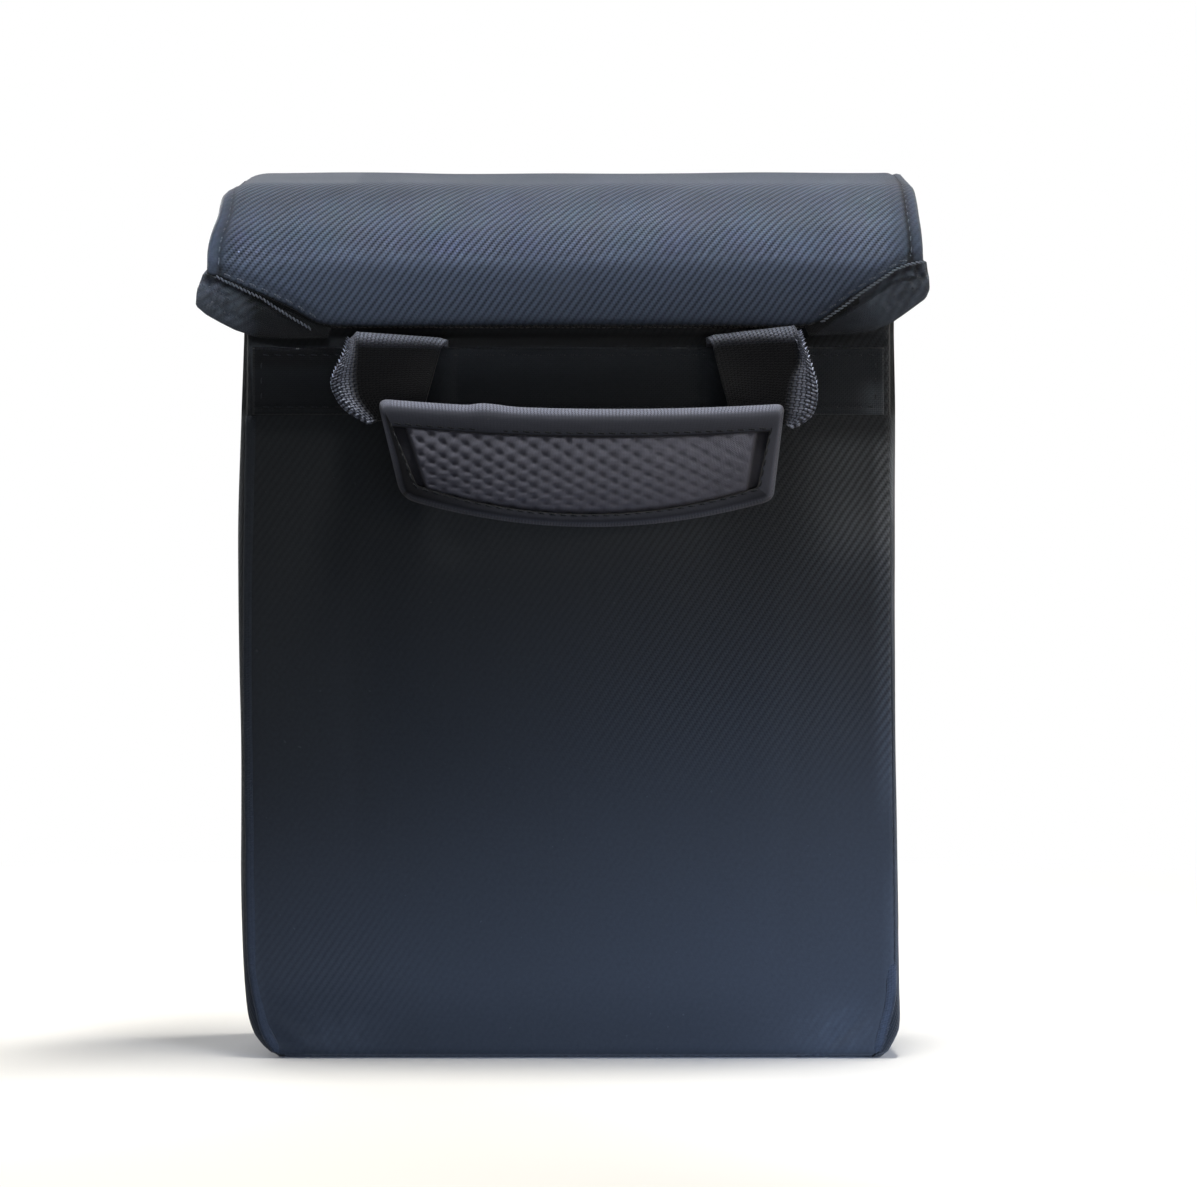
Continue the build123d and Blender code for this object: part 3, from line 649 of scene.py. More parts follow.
def makeSeams():
    for way, name in ((-1, "front"), (1, "back")):
        for side, sign in sideSign.items():
            node, label = f"{name}_{side}_seam", f"{name}{side.title()}Seam"
            high = box(node)[1].z
            bm = bmesh.new()
            addTube(bm, seamPoints(side, way, 0.5, high, -0.3, inward=0.7),
                    lambda share: (1.5 * smooth(share, -0.01, 0.02), 0.65 * smooth(share, -0.01, 0.02)), 16,
                    rub=(lambda a, b: ridgePaintedLight(side, a, b)) if way < 0 else None)
            ridge = finishPiece(bm, label + "Ridge", "facingCloth")
            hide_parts(node)
            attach(ridge, "bag")
            line = [(x - sign * 2.2, y - way * 0.55, z) for x, y, z in seamPoints(side, way, 3, high, 0.1)]
            stitches = makeStitches(label + "Stitches", [line], (0, way, 0), thread="darkThread")
            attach(stitches, "bag")


makeBody()
makeSeams()
print("stage: bag body done")


flap = dict(
    drop=14.0, shoulderRadius=20.0, shoulderAngle=50.0, browRadius=57.5, browAngle=29.0, backRadius=8.0,
    ply=1.1, liningPly=0.8, lapHeight=12.0, hemStitch=3.0, hemWidth=8.0,
    bottomCurl=1.6,        # the lower edge rolls inwards over this height
    roofSag=0.2,
)
# how far each corner of the roof droops over its last few mm, and how far the side flares out below
flapCorner = dict(left=dict(droop=4.8, run=11.0, power=2.6, flare=2.2),
                  right=dict(droop=1.6, run=4.0, power=2, flare=0.5))
flapLow, flapHigh = box("flap_front_cloth")
flapTopHigh = box("flap_top_cloth")[1]
flapHalf = flapHigh.x
lapLow, lapHigh = box("flap_lap")
roofTilt = flap["shoulderAngle"] + flap["browAngle"]


def tiltPoint(centre, radius, tilt):
    turn = radians(tilt)
    return (centre[0] - radius * cos(turn), centre[1] + radius * sin(turn))


shoulderCentre = (flapLow.y + flap["shoulderRadius"], flapLow.z + flap["drop"])
browCentre = tiltPoint(tiltPoint(shoulderCentre, flap["shoulderRadius"], flap["shoulderAngle"]),
                       -flap["browRadius"], flap["shoulderAngle"])
roofFront = tiltPoint(browCentre, flap["browRadius"], roofTilt)
roofRun = flapTopHigh.y - flap["backRadius"] * (1 + cos(radians(roofTilt))) - roofFront[0]
roofBack = (roofFront[0] + roofRun, roofFront[1] + roofRun / tan(radians(roofTilt)))
backCentre = tiltPoint(roofBack, -flap["backRadius"], roofTilt)
roofLength = roofRun / sin(radians(roofTilt))
# arc length from the lower edge to the end of each stretch of the flap
dropEnd = flap["drop"]
shoulderEnd = dropEnd + flap["shoulderRadius"] * radians(flap["shoulderAngle"])
browEnd = shoulderEnd + flap["browRadius"] * radians(flap["browAngle"])
roofEnd = browEnd + roofLength
foldEnd = roofEnd + flap["backRadius"] * radians(180 - roofTilt)
lapEnd = foldEnd + backCentre[1] - lapLow.z
flapBends = [(dropEnd, shoulderEnd, shoulderCentre, flap["shoulderRadius"], 0.0),
             (shoulderEnd, browEnd, browCentre, flap["browRadius"], flap["shoulderAngle"]),
             (roofEnd, foldEnd, backCentre, flap["backRadius"], roofTilt)]


def flapProfile(s, depth):
    # (y, z) of the flap's cloth, s mm up from its lower edge and depth mm inside its face, and its tilt
    if s <= dropEnd:
        return flapLow.y + depth, flapLow.z + s, 0.0
    if s > foldEnd:
        return flapTopHigh.y - depth, backCentre[1] - (s - foldEnd), 180.0
    for start, end, centre, radius, tilt in flapBends:
        if start < s <= end:
            tilt += degrees((s - start) / radius)
            return (*tiltPoint(centre, radius - depth, tilt), tilt)
    share, turn = (s - browEnd) / roofLength, radians(roofTilt)
    y, z = lerp(roofFront[0], roofBack[0], share), lerp(roofFront[1], roofBack[1], share)
    return y + depth * cos(turn), z - depth * sin(turn), roofTilt


# height of the flap's lower edge above its lowest line, by distance from the middle
flapEdge = {
    "left": curveThrough([(0, 0.3), (40, 0.1), (62, 0.1), (68.5, 1.0), (76, 5.4), (84.4, 9.6), (91.5, 12.7),
                          (97, 14.6)]),
    "right": curveThrough([(0, 0.3), (40, 0.3), (62, 0.2), (68, 1.2), (77.7, 8.2), (86, 13.6), (91, 16.6),
                           (97, 17.8)]),
}


def flapSide(x):
    return "left" if x < 0 else "right"


def flapHemEdge(x):
    return flapEdge[flapSide(x)](abs(x))


def flapPoint(x, s, depth=0.0):
    y, z, tilt = flapProfile(s, depth)
    turn, side = radians(tilt), flapSide(x)
    corner, rim, fromEdge = flapCorner[side], s - flapHemEdge(x), flapHalf - abs(x)
    onRoof = smooth(s, dropEnd + 4, browEnd) * fade(s, roofEnd - 2, foldEnd)
    sag = flap["roofSag"] * onRoof * (0.4 + 0.6 * cos(pi * x / flapHalf)) - 1.5 * onRoof
    sag += 0.4 * ripple(x, s, 0.03, 21.0) * smooth(s, 4, 20) * fade(s, roofEnd, foldEnd)
    edge = corner["run"] - fromEdge
    if edge > 0:
        droop = corner["droop"] * (edge / corner["run"]) ** corner["power"]
        sag += droop * smooth(s, shoulderEnd - 4, roofEnd - 12) * (1 - 0.7 * smooth(s, roofEnd, foldEnd))
    if depth < 0.5:
        curl = max(flap["bottomCurl"] - rim, 0) / flap["bottomCurl"]
        sag += 0.75 * curl**2 * fade(abs(x), 66, 72)
        onHem = fade(s, foldEnd, foldEnd + 4) * (1 - (0.75 if x < 0 else 0.2) * smooth(s, shoulderEnd, browEnd))
        sag += onHem * (0.75 * hump(fromEdge, flap["hemStitch"] + 0.4, 0.9) - 0.35 * hump(fromEdge, 1.3, 1.1)
                        + 0.2 * ripple(s, 3.0, 0.11, 77.0) * hump(fromEdge, flap["hemStitch"], 3.0))
        sag += 0.35 * fade(fromEdge, 0, 1.0) + 0.3 * hump(rim, 3.0, 0.8) * smooth(abs(x), 64, 70)
    x += sideSign[side] * corner["flare"] * fade(s, 20, 37) * smooth(abs(x), 70, flapHalf)
    return Vector((x, y, z)) - Vector((0, -cos(turn), sin(turn))) * sag


def flapPaintedShade(x, s):
    # painted shade: the hem stands in the shade of its own stitching and the lower edge, rolling under, is
    # darker; the side edges are a little paler
    fromEdge, rim = flapHalf - abs(x), s - flapHemEdge(x)
    groove = (0.14 if x < 0 else 0.24) * hump(fromEdge, flap["hemStitch"] + 0.4, 0.9)
    groove += 0.06 * fade(fromEdge, 6, 9)
    low = 0.1 * hump(rim, 3, 1.0) * smooth(abs(x), 64, 70) + 0.2 * fade(rim, 0, 1.0) + 0.11 * fade(rim, 0.8, 3.2)
    return 0.04 * hump(fromEdge, 1.2, 0.8) - groove * fade(s, browEnd, roofEnd) - low


def flapBlur(x, s):
    # the weave is pressed flat along the side hems, over the roof and near the lower edge
    fromEdge = flapHalf - abs(x)
    onHem = 0.85 * fade(fromEdge, 3.8, 5.6) if x < 0 else 0.75 * fade(fromEdge, 3.0, 9.0)
    onRoof = (0.85 if x < -60 else 0.4) * smooth(s, browEnd - 10, browEnd)
    return max(onHem, onRoof, 0.45 * fade(s - flapHemEdge(x), 1.5, 6))


def flapCloth(name, columns, rows, low, high, depth, half, ply, cloth):
    # from low(x) to high along the flap's profile; the weave's place follows the cloth
    def alongFlap(what):
        def at(a, b):
            x = lerp(-half, half, a)
            return what(x, lerp(low(x), high, b))
        return at
    marks = dict(rub=alongFlap(flapPaintedShade), blur=alongFlap(flapBlur)) if cloth == "twill" else {}
    return makeSheet(name, columns, rows, alongFlap(lambda x, s: flapPoint(x, s, depth)),
                     alongFlap(lambda x, s: (x + half, s)), cloth, ply, **marks)


def declareFlapSheet(piece, half, low, high):
    # the cloth was cut straight across, high less low long at its longest, with its lower corners taken off;
    # this works out its length and area and prints its cut size
    lengths = [high - low(lerp(-half, half, (step + 0.5) / 80)) for step in range(80)]
    area = sum(lengths) / len(lengths) * 2 * half
    max(lengths) * mm
    area * mm * mm
    print("stage:", piece.name, "cut", round(2 * half), "by", round(max(lengths)), "mm")


shoulderFold = dict(start=(0, -0.0225, 0.2358), end=(0, -0.0350, 0.2215))
backFold = dict(start=(0, 0.0347, 0.2250), end=(0, 0.0347, 0.2325))


def flapPieces():
    def fromRoof(x):
        return roofEnd

    def liningEdge(x):
        return flapHemEdge(x) + lerp(1.7, 3.8, smooth(abs(x), 60, 66))
    front = flapCloth("flapFrontCloth", 170, 84, flapHemEdge, roofEnd, 0.0, flapHalf, flap["ply"], "twill")
    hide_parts("flap_front_cloth", "flap_top_cloth")
    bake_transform(front, "flap_top", "flap_front", **shoulderFold)
    declareFlapSheet(front, flapHalf, flapHemEdge, roofEnd)
    rear = flapCloth("flapRearCloth", 170, 40, fromRoof, lapEnd, 0.0, flapHalf, flap["ply"], "twill")
    narrow = flapHalf - (bagHalf - 2.4)
    for vert in rear.data.vertices:             # below the fold the lap narrows to the back panel
        vert.co.x *= 1 - fade(vert.co.z / mm, lapHigh.z - 6, lapHigh.z + 2) * narrow / flapHalf
    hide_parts("flap_lap")
    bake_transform(rear, "bag", "flap_top", **backFold)
    declareFlapSheet(rear, flapHalf, fromRoof, lapEnd)
    depth, lined = flap["ply"] + 0.1, flapHalf - flap["hemWidth"] - 0.1
    linedEnd = lapEnd - flap["lapHeight"] + 1
    lining = flapCloth("flapFrontLining", 110, 70, liningEdge, roofEnd, depth, lined, flap["liningPly"],
                       "coatedLining")
    declareFlapSheet(lining, lined, liningEdge, roofEnd)
    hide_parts("flap_front_lining", "flap_top_lining")
    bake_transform(lining, "flap_top", "flap_front", **shoulderFold)
    rearLining = flapCloth("flapRearLining", 110, 24, fromRoof, linedEnd, depth, lined, flap["liningPly"],
                           "coatedLining")
    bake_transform(rearLining, "bag", "flap_top", **backFold)
    declareFlapSheet(rearLining, lined, fromRoof, linedEnd)
    for side, sign in sideSign.items():
        def hemPlace(a, b, high, low=None):
            x = sign * lerp(flapHalf - flap["hemWidth"], flapHalf - 0.25, a)
            return flapPoint(x, lerp(low or flapHemEdge(x) + 0.4, high, b), depth)
        hem = makeSheet(side + "FlapHem", 8, 70, lambda a, b: hemPlace(a, b, roofEnd), (8, 70), "twill",
                        flap["liningPly"], flip=sign < 0)
        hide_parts(f"flap_front_{side}_hem", f"flap_top_{side}_hem")
        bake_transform(hem, "flap_top", "flap_front", **shoulderFold)
        rearHem = makeSheet(side + "FlapRearHem", 8, 24, lambda a, b: hemPlace(a, b, linedEnd, roofEnd),
                            (8, 30), "twill", flap["liningPly"], flip=sign < 0)
        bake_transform(rearHem, "bag", "flap_top", **backFold)

    low, high = box("flap_lap_facing")
    facing = makeSheet("flapLapFacing", 60, 10, lambda a, b: acrossBox(low, high, a, b, high.y), (175, 12),
                       "plainCloth", 0.7, flip=True)
    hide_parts("flap_lap_facing")
    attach(facing, "bag")


# the smooth facing whose corners show under the flap's cut-off corners, as (x, z) from the side in: its outer
# edge, its rows of topstitch and the raised seam thread along the flap's edge
ear = dict(ply=0.95, under=4.0, columns=47, rows=26, innerEnd=64.0)
earEdge = {
    "left": [(99.0, 218.0), (100.5, 216.2), (101.5, 214.0), (102.2, 211.8), (102.5, 209.5), (102.6, 207.4),
             (99.8, 205.0), (95.9, 202.8), (91.8, 200.7), (86.0, 198.8), (78.0, 198.2), (66.0, 198.4)],
    "right": [(98.6, 219.6), (99.2, 216.0), (99.5, 212.0), (98.4, 209.4), (95.4, 207.2), (92.4, 205.0),
              (89.2, 202.8), (84.0, 200.6), (78.0, 199.5), (66.0, 199.0)],
}
earRows = {
    "left": [[(99.0, 212.6), (95.0, 210.4), (91.0, 207.2)], [(98.4, 208.6), (94.4, 205.4), (90.0, 203.6)]],
    "right": [[(96.6, 215.6), (93.4, 215.2), (90.2, 213.9)],
              [(97.6, 212.6), (93.6, 212.0), (90.2, 210.4), (87.8, 207.6)]],
}
earCord = {
    "left": [(97.6, 215.6), (89.2, 211.6), (84.1, 209.2), (80.2, 206.6), (76.3, 204.1), (70.6, 200.8)],
    "right": [(97.6, 219.3), (93.4, 218.5), (90.0, 217.2), (85.6, 214.2), (80.6, 210.8), (76.2, 207.4),
              (72.2, 204.6), (69.4, 202.6)],
}


def finePoints(row):
    return [(lerp(x0, x1, step / 6), lerp(z0, z1, step / 6)) for (x0, z0), (x1, z1) in zip(row, row[1:])
            for step in range(7)]


def evenPoints(edge):
    # one point for each column of the facing, with the outline's own ends
    points = [Vector((x, 0, z)) for x, z in edge]
    spread = along(points, lineLength(points) / (ear["columns"] + 1))
    return [edge[0], *((place.x, place.z) for place, direction in spread[1:ear["columns"]]), edge[-1]]


earColumns = {side: evenPoints(edge) for side, edge in earEdge.items()}
earRowPoints = {side: [finePoints(row) for row in rows] for side, rows in earRows.items()}


def earPoint(side, a, b):
    x0, z0 = earColumns[side][int(round(a * ear["columns"]))]
    inner = lerp(flapHalf - 2.6, ear["innerEnd"], a)
    x = lerp(x0, inner, b)
    z = lerp(z0, flapLow.z + flapEdge[side](inner) + ear["under"], b)
    s, rim = z - flapLow.z, hypot(x - x0, z - z0)
    y, onFlap, tilt = flapProfile(max(s, 0), flap["ply"] + 0.1)
    y += 1.6 * fade(rim, 0, 6) * hump(a, 0.32, 0.3) + 0.7 * fade(rim, 0, 1.2)
    cutEdge = s - flapEdge[side](x)          # height above the flap's cut edge
    y += 1.3 * fade(abs(cutEdge + 2.0), 0.5, 2.2) * fade(a, 0.55, 0.8)
    for points in earRowPoints[side]:
        y += 0.5 * fade(min(hypot(x - px, z - pz) for px, pz in points), 0.3, 1.1)
    pucker = sin((x * 0.8 + z * 0.6) * 2.1 + 1.5 * ripple(x, z, 0.2, 13.0))
    y += 0.55 * pucker * fade(a, 0.35, 0.6) * hump(rim, 5.0, 4.0) + 0.25 * ripple(x, z, 0.16, 31.0)
    return (sideSign[side] * x, y, onFlap if s > 0 else z)


def earPaintedShade(side, a, b):
    # painted shade, deepest where the facing tucks under the flap and along the flap's cut edge, with a mottle
    # of strokes on its outer part
    x, y, z = earPoint(side, a, b)
    if side == "left":
        run, rise, inward = 0.5, 0.9, 0.36 * smooth(93 - abs(x), 0, 9)
    else:
        run, rise, inward = 0.85, -0.5, 0.27 * smooth(a, 0.45, 0.75)
    stroke = sin((abs(x) * run + z * rise) * 2.6 + 2.0 * ripple(x, z, 0.3, 19.0))
    mottle = 0.10 * fade(a, 0.4, 0.6) * stroke + 0.05 * ripple(x, z, 0.35, 43.0)
    cutEdge = z - (flapLow.z + flapEdge[side](abs(x)))
    return 0.05 + mottle - 0.14 * fade(abs(cutEdge + 1.2), 0.3, 2.4) - inward


def makeEars():
    columns, rows = ear["columns"], ear["rows"]
    for side, sign in sideSign.items():
        places = [Vector(earPoint(side, i / columns, j / rows))
                  for i in range(columns + 1) for j in range(rows + 1)]

        def onEar(x, z, lift=0.0):
            near = min(places, key=lambda point: hypot(abs(point.x) - x, point.z - z))
            return Vector((sign * x, near.y - lift, z))
        piece = makeSheet(side + "FlapCorner", columns, rows, lambda a, b: earPoint(side, a, b), (46, 12),
                          "facingCloth", ear["ply"], start=(0, 300), rub=lambda a, b: earPaintedShade(side, a, b),
                          flip=side == "right", softEdge=0.3)
        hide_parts(f"flap_{side}_corner")
        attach(piece, "flap_front")
        lines = [[onEar(x, z, 0.05) for x, z in points] for points in earRowPoints[side]]
        stitches = makeStitches(side + "CornerStitches", lines, (0, -1, 0), pitch=2.2, length=1.6, width=0.6,
                                height=0.5)
        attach(stitches, "flap_front")
        cord = [onEar(x, z) for x, z in finePoints(earCord[side])]
        for point in cord:
            edge = flapPoint(point.x, max(point.z - flapLow.z, 0.0))
            point.y = min(point.y - 0.3, edge.y + (0.2 if side == "left" else -0.5))
        rope = makeStitches(side + "CornerCord", [cord], (0, -1, 0), thread="cord", length=1.8, width=0.56,
                            height=0.7, pitch=1.2, slant=28)
        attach(rope, "flap_front")


def makeFlapStitches():
    def outward(place):
        if place.z < shoulderCentre[1]:
            return (0, -1, 0)
        centre = shoulderCentre if place.y < roofFront[0] - 26 else browCentre
        return (0, place.y - centre[0], place.z - centre[1])

    rows = []
    for sign in sideSign.values():
        x = sign * (flapHalf - flap["hemStitch"])
        rows.append([flapPoint(x, lerp(flapHemEdge(x) + 3, roofEnd - 2, share / 60)) for share in range(61)])
        across = [sign * lerp(68.5, flapHalf - flap["hemStitch"] - 1, step / 30) for step in range(31)]
        rows.append([flapPoint(x, flapHemEdge(x) + 1.5) for x in across])
    piece = makeStitches("flapHemStitches", rows, outward, 0.0)
    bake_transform(piece, "flap_top", "flap_front", **shoulderFold)
    back = makeStitches("lapStitches", [[(x, lapHigh.y + 0.05, z) for x in (lapLow.x + 3, lapHigh.x - 3)]
                                        for z in (lapLow.z + 2.0, lapHigh.z - 3.0)], (0, 1, 0))
    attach(back, "bag")


flapPieces()
makeEars()
makeFlapStitches()
print("stage: flap done")


foldZ = next(joint for joint in frame["joints"] if joint["name"] == "handle_lift")["pos_m"][2] / mm
strapBox = {side: box(side + "_handle_strap") for side in sideSign}
tailBox = {side: box(side + "_strap_tail") for side in sideSign}


def bandOut(x):
    # how far the band climbs over the straps' tails
    return 1.45 * sum(smooth(x, low.x - 2.6, low.x - 0.4) * fade(x, high.x + 0.4, high.x + 2.6)
                      for low, high in tailBox.values())


def bandPaintedLight(a, b):
    # painted highlight on its folded edges, most of all the lower one at the right, and at its right end;
    # painted shade towards the left and the upper left
    return (0.16 * smooth(b, 0.955, 1.0) + 0.3 * fade(b, 0.0, 0.05) * smooth(a, 0.6, 0.95)
            + 0.5 * hump(a, 0.985, 0.022) * fade(b, 0.3, 0.6) + 0.06 * smooth(a, 0.8, 0.95)
            - 0.12 * fade(a, 0.06, 0.3) - 0.13 * fade(a, 0.1, 0.2) * smooth(b, 0.6, 0.8))


def makeBand():
    low, high = bandLow, bandHigh

    def place(a, b):
        x, z = lerp(low.x, high.x, a), lerp(low.z, high.z, b)
        edge, end = min(b, 1 - b) * (high.z - low.z), min(a, 1 - a) * (high.x - low.x)
        out = 0.75 + bandOut(x) + 0.25 * ripple(x, z, 0.05, 41.0) * smooth(edge, 0, 3)
        out += 0.3 * hump(edge, 0.8, 0.6) - 0.3 * hump(edge, 2.1, 0.6) - 0.4 * fade(edge, 0, 0.5)
        out -= 0.3 * fade(end, 0, 0.8) + 0.2 * hump(end, 2.4, 0.6)
        return (x, frontFace - 0.12 - out, z)
    band = makeSheet("handleBandCloth", 190, 30, place, (174, 18.5), "plainCloth", 0.75, start=(0, 500),
                     rub=bandPaintedLight)
    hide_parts("handle_band", "left_strap_tail", "right_strap_tail")
    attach(band, "bag")
    across = [lerp(low.x + 2, high.x - 2, step / 170) for step in range(171)]
    rows = [[(x, frontFace - 1.0 - bandOut(x), z) for x in across] for z in (low.z + 2.1, high.z - 2.1)]
    rows += [[(x, frontFace - 0.75, z) for z in (low.z + 3, high.z - 3)] for x in (low.x + 2.4, high.x - 2.4)]
    stitches = makeStitches("bandStitches", rows, (0, -1, 0), thread="darkThread", length=2.0, width=0.4,
                            height=0.3)
    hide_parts("band_stitches")
    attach(stitches, "bag")
    for side, (low, high) in tailBox.items():      # the tail's end shows above the band, before the fold
        tail = makeSheet(side + "TailWebbing", 24, 6, lambda a, b: (lerp(low.x, high.x, a), frontFace - 1.3,
                                                                   lerp(high.z - 3, foldZ - 0.5, b)),
                         (25, 5), "webbing", 1.0)
        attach(tail, "bag")


# each strap folds forward over a soft roll and slants back behind the grip, its outer edge curled into a lip
strap = dict(rollIn=2.5, rollOut=3.5, rollShare=0.42, lipFrom=0.78, lipOut=3.0, end=8.3, ply=1.35, columns=44,
             rows=300, loopPitch=1.45)
# each roll's top carries a painted highlight, its strength given per side
strapShape = {
    "left": dict(topIn=198.4, topOut=200.5, endIn=178.0, endOut=174.6, rollHighlight=1.5,
                 inner=curveThrough([(0, -33.2), (0.24, -33.2), (0.42, -35.0), (1, -39.8)]),
                 crease=curveThrough([(0, -57.2), (0.3, -57.6), (0.42, -57.9), (0.8, -57.6), (1, -52.6)]),
                 outer=curveThrough([(0, -58.0), (0.21, -58.6), (0.33, -60.0), (0.42, -60.7), (0.5, -61.8),
                                     (0.58, -63.3), (0.70, -64.8), (0.78, -64.0), (0.9, -61.0), (1, -55.2)])),
    "right": dict(topIn=199.1, topOut=202.5, endIn=178.0, endOut=173.2, rollHighlight=1.15,
                  inner=curveThrough([(0, 38.0), (0.24, 38.0), (0.42, 39.6), (1, 44.4)]),
                  crease=curveThrough([(0, 61.2), (0.3, 61.8), (0.42, 62.5), (0.58, 63.0), (0.70, 61.0),
                                       (0.85, 59.8), (1, 59.4)]),
                  outer=curveThrough([(0, 62.0), (0.21, 62.2), (0.33, 63.0), (0.42, 63.8), (0.52, 65.4),
                                      (0.62, 66.8), (0.71, 67.9), (0.83, 68.0), (0.93, 66.2), (1, 61.6)])),
}


def strapTooth(a, b):
    # loops of yarn along the outer selvage
    return sin(2 * pi * (b * 52 - 13 * a) / strap["loopPitch"])


def strapPoint(side, a, b):
    # a runs from the inner to the outer selvage, b from behind the roll to behind the grip
    shape, turnShare, crease = strapShape[side], strap["rollShare"], strap["lipFrom"]
    r = lerp(strap["rollIn"], strap["rollOut"], smooth(a, 0, 0.8))
    rollY = frontFace - 1.0 - r
    rollZ = lerp(shape["topIn"], shape["topOut"], a) - r - 1.5 * smooth(a, 0.84, 1) - 0.5 * fade(a, 0, 0.08)
    if b < turnShare:
        angle = radians(lerp(-8, 180, b / turnShare))
        y, z = rollY + r * cos(angle), rollZ + r * sin(angle)
    else:
        t = (b - turnShare) / (1 - turnShare)
        y = lerp(rollY - r, frontFace - strap["end"], smooth(t, 0.0, 0.8))
        z = lerp(rollZ, lerp(shape["endIn"], shape["endOut"], a), t)
    if a < crease:
        x = lerp(shape["inner"](b), shape["crease"](b), a / crease)
        y += 0.5 * sin(pi * a / crease) * smooth(b, turnShare, 0.7)
    else:
        lip = (a - crease) / (1 - crease)
        x = lerp(shape["crease"](b), shape["outer"](b), lip)
        out = smooth(b, 0.30, 0.62) * (1 - 0.55 * smooth(b, 0.9, 1))
        y -= strap["lipOut"] * out * sin(pi / 2 * min(lip * 1.25, 1)) - 0.5 * out * smooth(lip, 0.8, 1)
    return (x, y - 0.35 * smooth(a, 0.90, 0.96) * smooth(b, 0.24, 0.4) * strapTooth(a, b), z)


def strapPaintedLight(side, a, b):
    # painted light: a highlight on the roll's top and the lip, light and shade across the selvage's loops, and
    # painted shade on the face below the roll
    lipFrom = strap["lipFrom"]
    # the right roll is deeper at its outer end
    far = 0.05 * smooth(a, 0.4, 0.8) if side == "right" else 0.0
    onRoll = smooth(b, 0.06, 0.14) * fade(b, 0.31 + far, 0.42 + far)
    onLip = smooth(a, lipFrom, lipFrom + 0.10) * smooth(b, 0.24, 0.40)
    tooth = smooth(a, 0.89, 0.94) * smooth(b, 0.24, 0.4) * strapTooth(a, b)
    onFace = 0.29 * smooth(b, 0.40, 0.46) * fade(a, lipFrom - 0.04, lipFrom + 0.04)
    return max(strapShape[side]["rollHighlight"] * onRoll, 1.4 * onLip) + 1.5 * tooth - onFace


def strapBlur(a, b):
    return 0.8 * smooth(b, 0.36, 0.46) * fade(a, strap["lipFrom"] - 0.04, strap["lipFrom"] + 0.02)


strapLap = dict(left=(-37.5, -46.5), right=(45.4, 55.4))      # the sewn ends behind the grip
strapFold = dict(start=(0, -0.0365, 0.1985), end=(0, -0.0415, 0.190))      # below the roll, clear of the flap


def makeStraps():
    for side in sideSign:
        piece = makeSheet(side + "StrapWebbing", strap["columns"], strap["rows"],
                          lambda a, b: strapPoint(side, a, b), (26, 52), "webbing", strap["ply"],
                          rub=lambda a, b: strapPaintedLight(side, a, b), blur=strapBlur, flip=side == "right",
                          softEdge=0.3)
        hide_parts(side + "_handle_strap")
        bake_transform(piece, "bag", "handle", **strapFold)

        def lapPlace(a, b):
            z = strapBox[side][0].z + 15 * b
            return (lerp(*strapLap[side], a), gripBack + 1.55 + gripLean(z), z)
        lap = makeSheet(side + "StrapLap", 20, 20, lapPlace, (16, 14), "webbing", 1.3, flip=side == "left",
                        softEdge=0.3)
        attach(lap, "handle")


# the grip's outline: corners (x, z), how they round, sag of its upper and lower edges, and the width of its
# binding on each side as a share of the top's
gripLow, gripHigh = box("grip_back_cover")
gripBack, gripFront = gripHigh.y, box("grip_mesh")[0].y
gripMiddle = (gripLow.x + gripHigh.x) / 2
grip = dict(
    corners=[(gripMiddle - 55.3, gripHigh.z + 0.4), (gripMiddle + 56.3, gripHigh.z - 1.0),
             (gripMiddle + 53.0, gripLow.z + 7.0), (gripMiddle - 48.6, gripLow.z + 7.6)],
    inward=[(1, -1), (-1, -1), (-1, 1), (1, 1)], rounds=(3.4, 2.6, 2.5, 4.0), sags=(2.1, 0, 7.6, 0),
    rimSide=0.56, rims=(1.0, 1.0, 0.44, 0.44), sideSteps=44, cornerSteps=8,
)
gripSides = grip["sideSteps"]
lowStart = 2 * (gripSides + grip["cornerSteps"] - 1)        # the first point of the lower edge


def gripLoop(inset, rounding=1.0):
    # points round the grip, clockwise from the upper left, drawn in by inset as the binding narrows
    corners = [Vector((x + wayX * inset * grip["rimSide"], z + wayZ * inset * rim))
               for (x, z), (wayX, wayZ), rim in zip(grip["corners"], grip["inward"], grip["rims"])]

    def sideAt(index, share):
        point = corners[index].lerp(corners[(index + 1) % 4], share)
        point.y -= 4 * share * (1 - share) * grip["sags"][index]
        return point

    lengths = [(corners[(index + 1) % 4] - corners[index]).length for index in range(4)]
    rounds = [rounding * max(size - 0.4 * inset, 0.6) for size in grip["rounds"]]
    points = []
    for index in range(4):
        after = (index + 1) % 4
        first, last = rounds[index] / lengths[index], 1 - rounds[after] / lengths[index]
        points += [sideAt(index, lerp(first, last, step / (gripSides - 1))) for step in range(gripSides)]
        begin, finish = sideAt(index, last), sideAt(after, rounds[after] / lengths[after])
        for step in range(1, grip["cornerSteps"]):
            t = step / grip["cornerSteps"]
            points.append(begin * (1 - t) ** 2 + corners[after] * (2 * t * (1 - t)) + finish * t**2)
    return points


def gripLean(z):
    # the pad's lower edge stands a little further off the bag than its top
    return 3.0 * ((z - gripLow.z) / (gripHigh.z - gripLow.z) - 0.5)


# the binding's section: how far in from the edge, where 8 is its full width, its y and its painted light, a
# highlight above nothing and shade below
bindingSection = [(8.1, 0.75, -0.6), (7.9, 0.1, -0.5), (7.4, -0.3, 0.0), (6.2, -0.42, 0.0), (4.6, -0.5, 0.0),
                  (3.4, -0.45, 0.0), (2.5, -0.2, 0.15), (1.8, 0.15, 0.8), (1.1, 0.75, 1.0), (0.5, 1.6, 1.0),
                  (0.1, 2.6, 1.0), (0.1, 3.7, 0.5), (0.5, 4.7, 0.1), (1.4, 5.5, 0.0), (3.0, 5.85, 0.0),
                  (5.5, 5.85, 0.0), (6.0, 5.6, -0.3)]
bindingOverlap = dict(x=-24.8, out=0.7, fade=12.0)      # where one end of the top binding lies over the other


